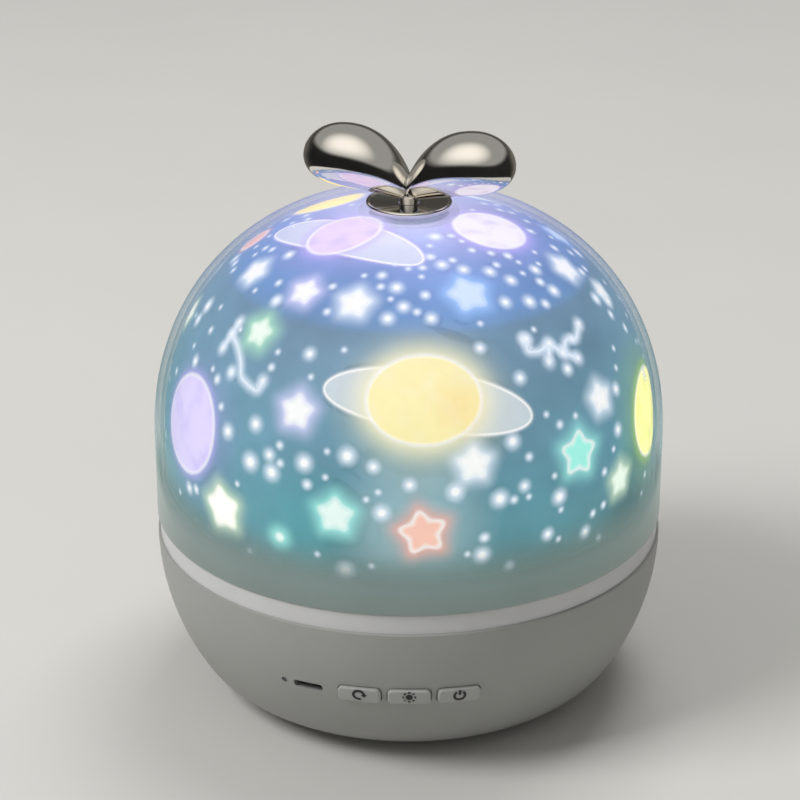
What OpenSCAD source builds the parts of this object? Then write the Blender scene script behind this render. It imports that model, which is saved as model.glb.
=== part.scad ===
// Star night light projector: a bowl-shaped base with three side buttons and a
// charging socket, a lift-off frosted shade with a sprout handle, and inside it a
// motor-driven turntable that carries a clear dome dressed in two printed films.
// Units are millimetres. The origin is at the centre of the base, on the table, and
// the buttons face -Y.

/* [Base] */
// Outer radius of the base rim and of the shade
body_r = 65; // [63:0.5:70]
// Height of the base rim above the table
rim_z = 42; // [41:0.5:46]
// Radius of the base's side curve
side_r = 61; // [58:1:63]
// Radius of the curve under the base
corner_r = 18; // [15:1:20]
// Wall thickness of the base
base_wall = 2.2; // [1.8:0.1:2.6]
// Radius of each rubber foot
foot_r = 5; // [4:0.5:6]
// Height of the gap that the feet hold under the base
foot_h = 1.2; // [0.8:0.1:2]
// Depth of the pocket that each foot is glued into
foot_pocket = 0.7; // [0.4:0.1:0.9]
// Distance from the axis to each foot
foot_ring_r = 31; // [28:1:34]

/* [Collar] */
// Height of the band that shows between the base and the shade
band_h = 5.2; // [4:0.2:7]
// How far the band is set in from the base rim
band_inset = 0.6; // [0.3:0.1:1]
// Height of the lip that the shade fits over
lip_h = 3; // [2:0.5:3]
// Thickness of the lip
lip_t = 1.6; // [1.2:0.1:2]
// Thickness of the deck
deck_t = 2.4; // [2:0.1:3]
// Height of the skirt that centres the deck in the base
skirt_h = 3; // [2:0.5:4]

/* [Shade] */
// Wall thickness of the shade
shade_wall = 1.5; // [1.2:0.1:1.6]
// Height of the shade's straight wall
shade_side_h = 22.1; // [20:0.5:26]
// Radius of the shade's shoulder
shoulder_r = 55; // [52:1:58]
// Angle at which the shoulder begins
shoulder_a = 23; // [18:1:28]
// Angle at which the flatter crown begins
crown_a = 79.4; // [77:0.2:81]

/* [Handle] */
// Radius of the mirror dish under the handle
dish_r = 10.75; // [10:0.05:11.5]
// Thickness of the dish
dish_t = 0.7; // [0.5:0.1:0.9]
// Radius of the dish's rolled rim
dish_rim_r = 0.55; // [0.5:0.05:0.7]
// Depth of the flat seat that the dish stands in
dish_seat = 1.05; // [0.9:0.05:1.1]
// Reach of each leaf from the axis
leaf_reach = 26.7; // [24:0.1:29]
// Half the height of a leaf at its fullest
leaf_half_h = 8; // [7:0.1:8.6]
// Half the width of a leaf at its fullest
leaf_half_w = 8; // [6.5:0.1:10]
// Rise of a leaf's middle line as it leaves the axis
leaf_rise = 9.4; // [8:0.1:11]
// Droop of a leaf's middle line at its end
leaf_droop = 2.2; // [0:0.1:3]
// Turn of the leaves about the axis
leaf_turn = -13; // [-40:1:40]
// Radius of the post under the leaves
handle_post_r = 2.4; // [2.2:0.1:3]
// Radius of the screw that holds the handle
handle_screw_r = 1; // [0.8:0.05:1.2]

/* [Films and turntable] */
// Clearance between the shade and the films
film_gap = 1.1; // [0.9:0.1:1.4]
// Thickness of each printed film
film_t = 0.4; // [0.3:0.05:0.5]
// Wall thickness of the clear dome
carrier_wall = 1.1; // [0.9:0.1:1.4]
// Angle of the seam between the side film and the top film
film_seam_a = 46; // [40:1:52]
// Radius of the hole in the top of the clear dome
carrier_hole_r = 10; // [9.5:0.1:11]
// Thickness of the turntable disc
table_t = 2; // [1.6:0.1:2.4]
// Height of the groove that holds the films' lower edge
groove_h = 1.2; // [0.8:0.1:1.6]

/* [Drive] */
// Tooth module of both gears
gear_module = 0.8; // [0.7:0.05:0.9]
// Teeth on the turntable gear
table_teeth = 60; // [56:1:64]
// Teeth on the motor pinion
pinion_teeth = 12; // [11:1:14]
// Face width of the pinion
pinion_h = 4; // [3:0.2:4.2]
// Radius of the motor shaft
shaft_r = 1.5; // [1:0.1:1.5]
// Height of the gear case
gear_case_h = 8; // [7:0.5:9]
// Length of the motor can
motor_can_h = 11.5; // [9:0.5:11.5]

/* [Lamp] */
// Outer radius of the lamp tower
tower_r = 13; // [12.5:0.1:13.5]
// Wall thickness of the lamp tower
tower_wall = 2.5; // [2.2:0.1:2.8]
// Height of the tower's top above the deck
tower_h = 18.1; // [16:0.5:20]
// Radius of the lamp lens
lens_r = 7.5; // [7:0.1:8]
// Wall thickness of the lamp lens
lens_wall = 1.2; // [0.8:0.1:1.4]
// Width of each lamp chip
chip_w = 3; // [2.4:0.1:3.2]

/* [Controls] */
// Height of the middle of the buttons above the table
button_z = 24; // [23:0.5:25.5]
// Width of each button
button_w = 10.5; // [9.5:0.1:10.6]
// Height of each button
button_h = 4.3; // [3.8:0.1:4.8]
// Distance between the middles of neighbouring buttons
button_spacing = 12.05; // [11.9:0.05:12.6]
// How far the buttons stand out of the wall
button_proud = 1.1; // [0.8:0.1:1.6]
// Travel of each button
button_travel = 0.6; // [0.3:0.1:0.7]
// Distance from the left button's middle to the charging socket's
usb_spacing = 13.24; // [12.7:0.02:13.6]
// Width of the charging socket's shell
usb_w = 7.5; // [7:0.1:7.7]
// Height of the charging socket's shell
usb_h = 2.5; // [2.4:0.1:2.8]
// Distance from the charging socket's middle to the charge indicator's
indicator_spacing = 6.52; // [6.2:0.02:10]
// Radius of the charge indicator's light pipe
indicator_r = 0.6; // [0.5:0.05:0.8]

/* [Inside the base] */
// Thickness of the circuit board
board_t = 1.5; // [1:0.1:1.6]
// Radius of the battery cell
cell_r = 7.1; // [6.5:0.1:7.1]
// Length of the battery cell
cell_l = 50; // [44:1:50]
// Radius of each deck screw
deck_screw_r = 1.3; // [1.1:0.1:1.5]

/* [Clearances] */
// Gap around a piece that slides by hand
slide_gap = 0.3; // [0.2:0.05:0.35]
// Gap around each button
button_gap = 0.2; // [0.15:0.05:0.25]
// Gap around a piece that turns on a shaft or tower
run_gap = 0.15; // [0.1:0.05:0.2]
// Gap between pieces that are stacked or glued
seat_gap = 0.1; // [0.05:0.05:0.15]

/* [Hidden] */
$fn = 96;
overrun = 1;          // how far a cut runs past the face that it opens
round_fn = 48;        // sides of a small round piece

// Colours
white_abs = [0.86, 0.86, 0.85];
frosted = [0.62, 0.74, 0.82, 0.6];
chrome = [0.78, 0.77, 0.74];
steel = [0.66, 0.67, 0.68];
rubber_grey = [0.3, 0.3, 0.31];
board_green = [0.1, 0.36, 0.2];
black_resin = [0.08, 0.08, 0.09];
clear_plastic = [0.85, 0.9, 0.93, 0.35];
print_blue = [0.2, 0.4, 0.6];
print_violet = [0.36, 0.38, 0.72];
gear_white = [0.8, 0.81, 0.8];
motor_grey = [0.55, 0.56, 0.57];
copper = [0.72, 0.45, 0.2];
cell_blue = [0.16, 0.3, 0.6];
chip_yellow = [0.95, 0.85, 0.35];
cable_red = [0.7, 0.12, 0.1];

// Base: two arcs that meet tangentially, the side one centred level with the rim
side_cx = body_r - side_r;
turn_a = asin((rim_z - foot_h - corner_r) / (side_r - corner_r));
corner_cx = side_cx + (side_r - corner_r) * cos(turn_a);
corner_cz = rim_z - (side_r - corner_r) * sin(turn_a);
turn_z = rim_z - side_r * sin(turn_a);
floor_z = foot_h + base_wall;
arc_steps = 12;

// Shade: three arcs with the wall's radius, the shoulder's and the crown's
spring_z = rim_z + band_h + shade_side_h;
shade_z = rim_z + band_h;
shoulder_c = [(body_r - shoulder_r) * cos(shoulder_a),
              spring_z + (body_r - shoulder_r) * sin(shoulder_a)];
crown_r = shoulder_r + shoulder_c[0] / cos(crown_a);
skin_c = [[0, spring_z], shoulder_c,
          [0, shoulder_c[1] - (crown_r - shoulder_r) * sin(crown_a)]];
skin_r = [body_r, shoulder_r, crown_r];
skin_steps = 24;
apex_z = skin_c[2][1] + crown_r;

// Offsets of each layer from the shade's outer face
film_out = shade_wall + film_gap;
film_in = film_out + film_t;
carrier_out = film_in + seat_gap;
carrier_in = carrier_out + carrier_wall;
retainer_t = 0.6;
retainer_out = film_out - seat_gap - retainer_t;
retainer_w = 2.6;

// Collar, deck and tower
lip_r = body_r - shade_wall - slide_gap;
lip_top_z = shade_z + lip_h;
deck_z = rim_z + deck_t;
skirt_r = body_r - base_wall - slide_gap;
skirt_t = 2;
tower_in_r = tower_r - tower_wall;
tower_z = deck_z + tower_h;
collar_w = 4;         // width of the shoulder that carries the washer
collar_h = 0.8;
washer_t = 0.7;
hub_z = deck_z + collar_h + washer_t + seat_gap;
table_z = max(lip_top_z + 0.8, hub_z + pinion_h + 1);
table_top_z = table_z + table_t;
table_r = body_r - shade_wall - film_gap / 2;
hub_wall = 3.7;
register_t = 1.6;     // wall of the ring that centres the clear dome
hub_top = 0.2;        // how far the hub stands above the disc
clip_t = 0.8;
clip_w = 3;
clip_groove = 0.8;
clip_z = table_top_z + hub_top + 0.2;

// Gears
pressure_a = 20;
table_gear_r = gear_module * table_teeth / 2;
pinion_gear_r = gear_module * pinion_teeth / 2;
gear_backlash = 0.1;
gear_clear = 0.25;    // share of the module left under a tooth's tip
motor_y = table_gear_r + pinion_gear_r;
pinion_z = table_z - 0.4 - pinion_h;
gear_rim = 4;         // width of the gear ring under the disc
relief_in = 14;       // from the hub to the shallow recess in the disc
relief_out = 9;       // from the recess to the carrier's inner face
relief_d = 0.6;

// Motor
case_w = 12;
case_d = 10;
ear_w = 24;
ear_t = 1;
ear_screw_x = 9;
ear_screw_r = 0.9;
ear_screw_l = 2.5;
shaft_sink = 3;
case_z = rim_z - ear_t - gear_case_h;
can_z = case_z - motor_can_h;

// Lamp
lamp_board_t = 1.6;
lamp_screw_r = 0.8;
lamp_screw_l = 6;
lamp_head_r = 1.5;
lamp_screw_x = lens_r + lamp_head_r + slide_gap;
lamp_boss_r = 2.4;
lamp_boss_h = 8;
chip_h = 0.9;
chip_pitch = chip_w + 0.8;
lamp_top_z = tower_z + lamp_board_t;

// Board, with its parts placed from its top and its switches level with the buttons
switch_h = 2.5;
board_top_z = button_z - switch_h / 2;
board_z = board_top_z - board_t;
board_gap = 3.2;      // from the wall to the board's edge
board_r = bowl_r(board_z, base_wall) - board_gap;
board_half_w = 36;
board_back_y = 6;
board_posts = [[-20, -8], [20, -8], [0, -34]];
board_screw_r = 1.1;
board_screw_l = 7;
board_head_t = 1.6;
control_chip_size = [10, 4, 1.6];
control_chip_at = [-5, -26];
charge_chip_size = [5, 4, 1.5];
charge_chip_in = 7;   // from the board's edge to the chip's outer corner
charge_chip_a = 235;
charge_chip_at = (board_r - charge_chip_in) * [cos(charge_chip_a), sin(charge_chip_a)];
coil_r = 3.5;
coil_h = 4;
coil_at = [-17, -24];
socket_y = 2.6;
socket_x = [-12, 0, 12];
socket_size = [7.5, 5.7, 3.5];
plug_size = [6.5, 4.4, 4];

// Half of the battery cradle's length
contact_t = 0.4;
cradle_wall = 1.2;
cell_half_l = cell_l / 2 + contact_t + cradle_wall;

// Screws that hold the deck
post_a = [30, 150, 210, 330];
post_r = 3.4;
post_cell_gap = 1.2;  // between the battery's cradle and the posts
post_in_x = cell_half_l + post_cell_gap;
post_ring_r = (post_in_x + post_r) / cos(post_a[0]);
deck_screw_bite = 8;  // how far each screw reaches above its post
post_foot_h = 11;     // height of the posts that stand on the base's floor
post_foot_z = floor_z + post_foot_h;
screw_head_t = 2;
screw_head_gap = 0.4;

// Buttons and their switches, measured out from the axis
button_round = 1.2;
flange_lap = 1;       // how far a button's flange reaches above and below its hole
flange_t = 1.2;
flange_r = bowl_r(button_z - button_h / 2 - flange_lap, base_wall) - 0.55;
stem_w = 3;
stem_h = 1.8;
stem_in_r = flange_r - 6.4;
plunger_w = 2.4;
plunger_h = 1.2;
plunger_l = 2.8;
switch_w = 6;
switch_d = 3.6;
switch_gap = 0.2;
switch_face_r = stem_in_r - button_travel - 0.8;
button_pitch_a = apart_a(button_spacing);
button_a = [-button_pitch_a, 0, button_pitch_a];
usb_a = button_a[0] - apart_a(usb_spacing);
indicator_a = usb_a - apart_a(indicator_spacing);

// Charging socket and indicator
usb_depth = 5.5;
usb_back_t = 0.6;     // wall at the back of the socket's shell
tongue_back = 0.8;    // how far the tongue's tip lies inside the mouth
tongue_w = usb_w - 3.4;
usb_skin = 0.3;
usb_round = 0.8;
usb_z = board_top_z + usb_h / 2;
usb_mouth_r = bowl_r(usb_z - usb_h / 2, base_wall) - 0.45;
usb_mouth_w = usb_w - 2 * usb_skin + 0.8;
usb_mouth_h = usb_h - 2 * usb_skin + 0.2;
tongue_t = 0.8;
led_w = 2;
led_h = 2.4;
indicator_z = board_top_z + 1.4;

// Battery
cradle_z = floor_z + 0.2;
cradle_half_d = cell_r + 0.6;
cradle_clear = 1.5;   // between the cradle's back corners and the base's wall
cell_y = sqrt(pow(bowl_r(cradle_z, base_wall) - cradle_clear, 2) - pow(cell_half_l, 2))
         - cradle_half_d;
cell_z = cradle_z + cradle_wall + slide_gap + cell_r;
cradle_window = 6;    // from each end of the cell to the cradle's window
contact_w = 8;
tab_l = 3.4;          // solder tab on each contact
tab_w = 3;

// Handle
post_clear = 0.2;
seat_z = apex_z - dish_seat;
seat_r = dish_r + 0.3;
seat_wall = 1.5;      // thickness of the shade under the dish's middle
seat_boss_r = 7.5;
leaf_root = 0.39;     // share of a leaf's fullest size that is left at the axis
leaf_mid = 0.52;      // share of the reach at which a leaf is fullest
leaf_blunt = 2.5;     // exponent of the outer end's outline: 2 is an ellipse
leaf_bend = 8.6;      // how soon a leaf levels out
leaf_rings = 20;
leaf_sides = 28;
leaf_root_z = seat_z + dish_t + 3.8;
washer_r = 6.5;
handle_washer_t = 1;
handle_head_t = 1.8;
handle_screw_l = 6;

// Cables: routes chosen by hand, from the piece that each one leaves to its plug
cable_r = 1;
cable_post_gap = 1.8;  // between the battery's cable and the deck's post
cable_sides = 8;
cable_steps = 5;
plug_top_z = board_top_z + socket_size[2] + plug_size[2];
led_route = [[0, -4, tower_z], [0, -4, tower_z - 8], [0, -4, rim_z + 2],
             [3, -3, rim_z - 4], [9, 0, plug_top_z + 6], [12, socket_y, plug_top_z + 4],
             [12, socket_y, plug_top_z]];
motor_route = [[0, motor_y - case_d / 2, can_z + 5], [0, motor_y - case_d / 2 - 3, can_z + 5],
               [0, 14, plug_top_z + 1], [0, 8, plug_top_z + 5],
               [0, socket_y, plug_top_z + 4], [0, socket_y, plug_top_z]];
battery_route = [[-cell_l / 2 - 2, cell_y, cell_z + contact_w / 2],
                 [-cell_l / 2 - 2, cell_y, cell_z + contact_w / 2 + 3],
                 [cable_post_gap + cable_r - post_in_x, 16, plug_top_z - 6], [-20, 9, plug_top_z + 3],
                 [-12, socket_y, plug_top_z + 4], [-12, socket_y, plug_top_z]];

// ---------------------------------------------------------------- outlines

// Radius of the base's outer face at height z, moved in by off
function bowl_r(z, off) =
    z >= turn_z ? side_cx + sqrt(pow(side_r - off, 2) - pow(rim_z - z, 2))
                : corner_cx + sqrt(pow(corner_r - off, 2) - pow(corner_cz - z, 2));

// Point of the base's outline where its face looks a degrees below level
function bowl_pt(a, off) =
    a <= turn_a ? [side_cx + (side_r - off) * cos(a), rim_z - (side_r - off) * sin(a)]
                : [corner_cx + (corner_r - off) * cos(a), corner_cz - (corner_r - off) * sin(a)];

// Angle between two places on the base's face that are a distance apart, level with the buttons
function apart_a(distance) = 2 * asin(distance / 2 / bowl_r(button_z, 0));

function bowl_line(off) = concat(
    [for (i = [0:arc_steps]) bowl_pt(turn_a * i / arc_steps, off)],
    [for (i = [1:arc_steps]) bowl_pt(turn_a + (90 - turn_a) * i / arc_steps, off)]);

// Point of the shade's outline where its face looks a degrees above level
function skin_pt(a, off) =
    let (k = a <= shoulder_a ? 0 : a <= crown_a ? 1 : 2)
    [skin_c[k][0] + (skin_r[k] - off) * cos(a), skin_c[k][1] + (skin_r[k] - off) * sin(a)];

function skin_line(off, a0, a1) =
    [for (i = [0:skin_steps]) skin_pt(a0 + (a1 - a0) * i / skin_steps, off)];

// Angle at which a layer of the crown reaches a radius
function crown_angle(r, off) = acos(r / (crown_r - off));

function reversed(list) = [for (i = [len(list) - 1:-1:0]) list[i]];

// A layer of the shade's form between two offsets and two angles
module skin_layer(out, in, a0, a1)
    rotate_extrude()
        polygon(concat(skin_line(out, a0, a1), reversed(skin_line(in, a0, a1))));

// The same, with a straight wall under it down to height z
module skin_layer_from(out, in, z, a1)
    rotate_extrude()
        polygon(concat([[body_r - out, z]], skin_line(out, 0, a1),
                       reversed(skin_line(in, 0, a1)), [[body_r - in, z]]));

module ring(r_in, r_out, z, h)
    translate([0, 0, z])
        difference() {
            cylinder(r = r_out, h = h);
            translate([0, 0, -overrun]) cylinder(r = r_in, h = h + 2 * overrun);
        }

module rounded_rect(w, h, r) {
    square([w - 2 * r, h], center = true);
    square([w, h - 2 * r], center = true);
    for (x = [-1, 1], y = [-1, 1])
        translate([x * (w / 2 - r), y * (h / 2 - r)]) circle(r, $fn = round_fn);
}

// A bar with the outline of its children, from radius r0 out to r1, turned a degrees
// from the front, at height z
module outward(a, z, r0, r1)
    rotate([0, 0, a])
        translate([0, -r0, z])
            rotate([90, 0, 0])
                linear_extrude(r1 - r0) children();

module at_posts()
    for (a = post_a) rotate([0, 0, a]) translate([post_ring_r, 0, 0]) children();

// ---------------------------------------------------------------- base

module bowl_shell()
    rotate_extrude()
        polygon(concat(bowl_line(0), [[0, foot_h], [0, floor_z]],
                       reversed(bowl_line(base_wall))));

module foot_places()
    for (a = [0:90:270]) rotate([0, 0, a]) translate([foot_ring_r, 0, 0]) children();

module base_bowl()
    color(white_abs)
    difference() {
        union() {
            bowl_shell();
            at_posts()
                translate([0, 0, floor_z - base_wall / 2])
                    cylinder(r = post_r, h = post_foot_z - floor_z + base_wall / 2 - seat_gap,
                             $fn = round_fn);
            for (p = board_posts)
                translate([p[0], p[1], floor_z - base_wall / 2])
                    cylinder(r = post_r, h = board_z - floor_z + base_wall / 2, $fn = round_fn);
        }
        foot_places()
            translate([0, 0, foot_h - overrun])
                cylinder(r = foot_r + seat_gap, h = overrun + foot_pocket, $fn = round_fn);
        at_posts() {
            translate([0, 0, foot_h - overrun])
                cylinder(r = deck_screw_r + slide_gap, h = post_foot_z, $fn = round_fn);
            translate([0, 0, foot_h - overrun])
                cylinder(r = 2 * deck_screw_r + screw_head_gap,
                         h = overrun + screw_head_t + screw_head_gap, $fn = round_fn);
        }
        for (p = board_posts)
            translate([p[0], p[1], floor_z + 4])
                cylinder(r = board_screw_r + seat_gap, h = board_z, $fn = round_fn);
        for (a = button_a)
            outward(a, button_z, flange_r - overrun, body_r + overrun)
                rounded_rect(button_w + 2 * button_gap, button_h + 2 * button_gap,
                             button_round + button_gap);
        outward(usb_a, usb_z, usb_mouth_r - overrun, body_r + overrun)
            rounded_rect(usb_mouth_w, usb_mouth_h, usb_round);
        outward(indicator_a, indicator_z, usb_mouth_r, body_r + overrun)
            circle(indicator_r + run_gap, $fn = round_fn);
    }

module rubber_feet()
    color(rubber_grey)
    foot_places()
        cylinder(r = foot_r, h = foot_h + foot_pocket, $fn = round_fn);

module top_deck()
    color(white_abs)
    difference() {
        union() {
            ring(skirt_r - skirt_t, body_r - band_inset, rim_z, band_h);
            ring(lip_r - lip_t, lip_r, shade_z - overrun, lip_h + overrun);
            ring(skirt_r - skirt_t, skirt_r, rim_z - skirt_h, skirt_h + overrun);
            ring(tower_in_r, skirt_r - skirt_t / 2, rim_z, deck_t);
            ring(tower_in_r, tower_r, rim_z, deck_t + tower_h);
            ring(tower_in_r, tower_r + collar_w, rim_z, deck_t + collar_h);
            for (x = [-1, 1])
                intersection() {
                    translate([x * lamp_screw_x, 0, tower_z - lamp_boss_h])
                        cylinder(r = lamp_boss_r, h = lamp_boss_h, $fn = round_fn);
                    translate([0, 0, rim_z]) cylinder(r = tower_r, h = deck_t + tower_h);
                }
            at_posts()
                translate([0, 0, post_foot_z])
                    cylinder(r = post_r, h = rim_z - post_foot_z + overrun, $fn = round_fn);
        }
        at_posts()
            translate([0, 0, post_foot_z - overrun])
                cylinder(r = deck_screw_r + seat_gap, h = 11 + overrun, $fn = round_fn);
        translate([0, motor_y, rim_z - overrun]) {
            cylinder(r = shaft_r + 2, h = deck_t + 2 * overrun, $fn = round_fn);
            for (x = [-1, 1])
                translate([x * ear_screw_x, 0, 0])
                    cylinder(r = ear_screw_r + seat_gap, h = deck_t - 0.6 + overrun,
                             $fn = round_fn);
        }
        ring(tower_r - clip_groove, tower_r + overrun, clip_z - seat_gap, clip_t + 2 * seat_gap);
        for (x = [-1, 1])
            translate([x * lamp_screw_x, 0, tower_z - lamp_boss_h + 2])
                cylinder(r = lamp_screw_r + seat_gap, h = lamp_boss_h, $fn = round_fn);
    }

module screw(r, l, head_r, head_t) {
    cylinder(r = head_r, h = head_t, $fn = round_fn);
    translate([0, 0, head_t]) cylinder(r = r, h = l, $fn = round_fn);
}

module deck_screws()
    color(steel)
    at_posts()
        translate([0, 0, foot_h + 0.2])
            screw(deck_screw_r, post_foot_z - foot_h - screw_head_t + deck_screw_bite,
                  2 * deck_screw_r, screw_head_t);

// ---------------------------------------------------------------- electronics

module circuit_board()
    color(board_green)
    translate([0, 0, board_z])
        linear_extrude(board_t)
            difference() {
                intersection() {
                    circle(board_r);
                    translate([-board_half_w, -body_r])
                        square([2 * board_half_w, body_r + board_back_y]);
                }
                for (a = post_a)
                    rotate(a) translate([post_ring_r, 0])
                        circle(post_r + 1.2, $fn = round_fn);
                for (p = board_posts)
                    translate(p) circle(board_screw_r + slide_gap, $fn = round_fn);
            }

module board_screws()
    color(steel)
    for (p = board_posts)
        translate([p[0], p[1], board_top_z + board_head_t])
            rotate([180, 0, 0])
                screw(board_screw_r, board_screw_l, 2 * board_screw_r, board_head_t);

module control_chip()
    color(black_resin)
    translate([control_chip_at[0], control_chip_at[1], board_top_z]) cube(control_chip_size);

module charge_chip()
    color(black_resin)
    translate([charge_chip_at[0], charge_chip_at[1], board_top_z]) cube(charge_chip_size);

module choke_coil()
    color(copper)
    translate([coil_at[0], coil_at[1], board_top_z])
        cylinder(r = coil_r, h = coil_h, $fn = round_fn);

module usb_shell()
    color(steel)
    difference() {
        outward(usb_a, usb_z, usb_mouth_r - usb_depth, usb_mouth_r)
            rounded_rect(usb_w, usb_h, usb_round);
        outward(usb_a, usb_z, usb_mouth_r - usb_depth + usb_back_t, usb_mouth_r + overrun)
            rounded_rect(usb_w - 2 * usb_skin, usb_h - 2 * usb_skin, usb_round - usb_skin);
    }

module usb_tongue()
    color(black_resin)
    outward(usb_a, usb_z - 0.2, usb_mouth_r - usb_depth + usb_back_t,
            usb_mouth_r - tongue_back)
        square([tongue_w, tongue_t], center = true);

module switch_bodies()
    color(black_resin)
    for (a = button_a)
        difference() {
            outward(a, board_top_z + switch_h / 2, switch_face_r - switch_d, switch_face_r)
                square([switch_w, switch_h], center = true);
            outward(a, button_z, switch_face_r - plunger_l + button_travel,
                    switch_face_r + overrun)
                square([plunger_w + 2 * switch_gap, plunger_h + 2 * switch_gap],
                       center = true);
        }

module indicator_led()
    color(chip_yellow)
    outward(indicator_a, board_top_z + led_h / 2, board_r - 3, board_r - 1)
        square([led_w, led_h], center = true);

module indicator_light_pipe()
    color(clear_plastic)
    outward(indicator_a, indicator_z, board_r - 0.9, bowl_r(indicator_z, 0) - 0.2)
        circle(indicator_r, $fn = round_fn);

module cable_sockets()
    color(white_abs)
    for (x = socket_x)
        translate([x - socket_size[0] / 2, socket_y - socket_size[1] / 2, board_top_z])
            cube(socket_size);

module cable_plugs()
    color(gear_white)
    for (x = socket_x)
        translate([x - plug_size[0] / 2, socket_y - plug_size[1] / 2,
                   board_top_z + socket_size[2]])
            cube(plug_size);

// ---------------------------------------------------------------- battery

module cell_bar(r, l)
    translate([-l / 2, cell_y, cell_z]) rotate([0, 90, 0]) cylinder(r = r, h = l);

module battery_cell()
    color(cell_blue)
    cell_bar(cell_r, cell_l);

module battery_cradle()
    color(white_abs)
    difference() {
        translate([-cell_half_l, cell_y - cradle_half_d, cradle_z])
            cube([2 * cell_half_l, 2 * cradle_half_d, cell_z - cradle_z + 1.2]);
        cell_bar(cell_r + slide_gap, cell_l + 2 * contact_t + 2 * seat_gap);
        translate([-cell_l / 2 + cradle_window, cell_y - cell_r - overrun, cell_z - cell_r / 2])
            cube([cell_l - 2 * cradle_window, 2 * (cell_r + overrun), cell_r]);
    }

module battery_contacts()
    color(steel)
    for (side = [0, 1])
        mirror([side, 0, 0])
            translate([cell_l / 2 + seat_gap / 2, cell_y, cell_z]) {
                translate([0, -contact_w / 2, -contact_w / 2])
                    cube([contact_t, contact_w, contact_w]);
                translate([0, -tab_w / 2, contact_w / 2 - contact_t])
                    cube([tab_l, tab_w, contact_t]);
            }

// ---------------------------------------------------------------- motor

module gear_case()
    color(gear_white)
    difference() {
        union() {
            translate([-case_w / 2, motor_y - case_d / 2, case_z])
                cube([case_w, case_d, gear_case_h + ear_t / 2]);
            translate([-ear_w / 2, motor_y - case_d / 2, rim_z - ear_t])
                cube([ear_w, case_d, ear_t - seat_gap]);
        }
        translate([0, motor_y, rim_z - shaft_sink])
            cylinder(r = shaft_r + seat_gap, h = shaft_sink + overrun, $fn = round_fn);
        for (x = [-1, 1])
            translate([x * ear_screw_x, motor_y, rim_z - ear_t - overrun])
                cylinder(r = ear_screw_r + seat_gap, h = ear_t + 2 * overrun, $fn = round_fn);
    }

module motor_can()
    color(motor_grey)
    intersection() {
        translate([0, motor_y, can_z])
            cylinder(r = case_w / 2, h = motor_can_h - seat_gap, $fn = round_fn);
        translate([-case_w, motor_y - case_d / 2, can_z]) cube([2 * case_w, case_d, motor_can_h]);
    }

module motor_screws()
    color(steel)
    for (x = [-1, 1])
        translate([x * ear_screw_x, motor_y, rim_z - ear_t - 1.3])
            screw(ear_screw_r, ear_screw_l, 2 * ear_screw_r, 1.2);

module motor_shaft()
    color(steel)
    translate([0, motor_y, rim_z - shaft_sink + seat_gap])
        cylinder(r = shaft_r, h = pinion_z + pinion_h - rim_z + shaft_sink - seat_gap,
                 $fn = round_fn);

// ---------------------------------------------------------------- gears

function involute(base, t) = [base * (cos(t) + t * PI / 180 * sin(t)),
                              base * (sin(t) - t * PI / 180 * cos(t))];
function turned(p, a) = [p[0] * cos(a) - p[1] * sin(a), p[0] * sin(a) + p[1] * cos(a)];
function roll_a(base, r) = sqrt(max(pow(r / base, 2) - 1, 0)) * 180 / PI;

// One flank from root to tip, turned so that the tooth is centred on angle 0
function flank(teeth, side) =
    let (pitch = gear_module * teeth / 2,
         base = pitch * cos(pressure_a),
         tip = pitch + gear_module * (1 - gear_clear / 2),
         root = pitch - gear_module * (1 + gear_clear),
         roll = roll_a(base, pitch),
         p = involute(base, roll),
         half = 90 / teeth - gear_backlash / pitch * 90 / PI,
         shift = -half - atan2(p[1], p[0]),
         start = max(base, root),
         r0 = roll_a(base, start),
         r1 = roll_a(base, tip),
         first = turned(involute(base, r0), shift))
    concat([[root * cos(atan2(first[1], first[0])), side * root * sin(atan2(first[1], first[0]))]],
           [for (i = [0:4]) let (q = turned(involute(base, r0 + (r1 - r0) * i / 4), shift))
            [q[0], side * q[1]]]);

function gear_outline(teeth, phase) =
    [for (k = [0:teeth - 1])
        for (p = concat(flank(teeth, 1), reversed(flank(teeth, -1))))
            turned(p, 360 * k / teeth + phase)];

module drive_pinion()
    color(gear_white)
    translate([0, motor_y, pinion_z])
        difference() {
            linear_extrude(pinion_h)
                polygon(gear_outline(pinion_teeth, -90 + 180 / pinion_teeth));
            translate([0, 0, -overrun])
                cylinder(r = shaft_r + seat_gap / 2, h = pinion_h + 2 * overrun, $fn = round_fn);
        }

module turntable()
    color(gear_white)
    difference() {
        union() {
            ring(tower_r + run_gap, table_r, table_z, table_t);
            ring(tower_r + run_gap, tower_r + hub_wall, hub_z, table_top_z - hub_z + hub_top);
            translate([0, 0, hub_z + 0.4])
                linear_extrude(table_z - hub_z)
                    difference() {
                        polygon(gear_outline(table_teeth, 90));
                        circle(table_gear_r - gear_module - gear_rim);
                    }
            ring(body_r - carrier_in - slide_gap - register_t, body_r - carrier_in - slide_gap,
                 table_top_z - overrun, groove_h + overrun);
            ring(body_r - film_out + seat_gap, table_r, table_top_z - overrun,
                 groove_h + overrun);
        }
        ring(tower_r + hub_wall + relief_in, body_r - carrier_in - relief_out,
             table_top_z - relief_d, overrun);
    }

module table_washer()
    color(white_abs)
    ring(tower_r + run_gap, tower_r + hub_wall, deck_z + collar_h, washer_t);

module table_clip()
    color(steel)
    difference() {
        ring(tower_r - clip_groove + seat_gap, tower_r + clip_w, clip_z, clip_t);
        translate([0, -4, clip_z - overrun]) cube([tower_r + clip_w + overrun, 8,
                                                   clip_t + 2 * overrun]);
    }

// ---------------------------------------------------------------- lamp

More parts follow.
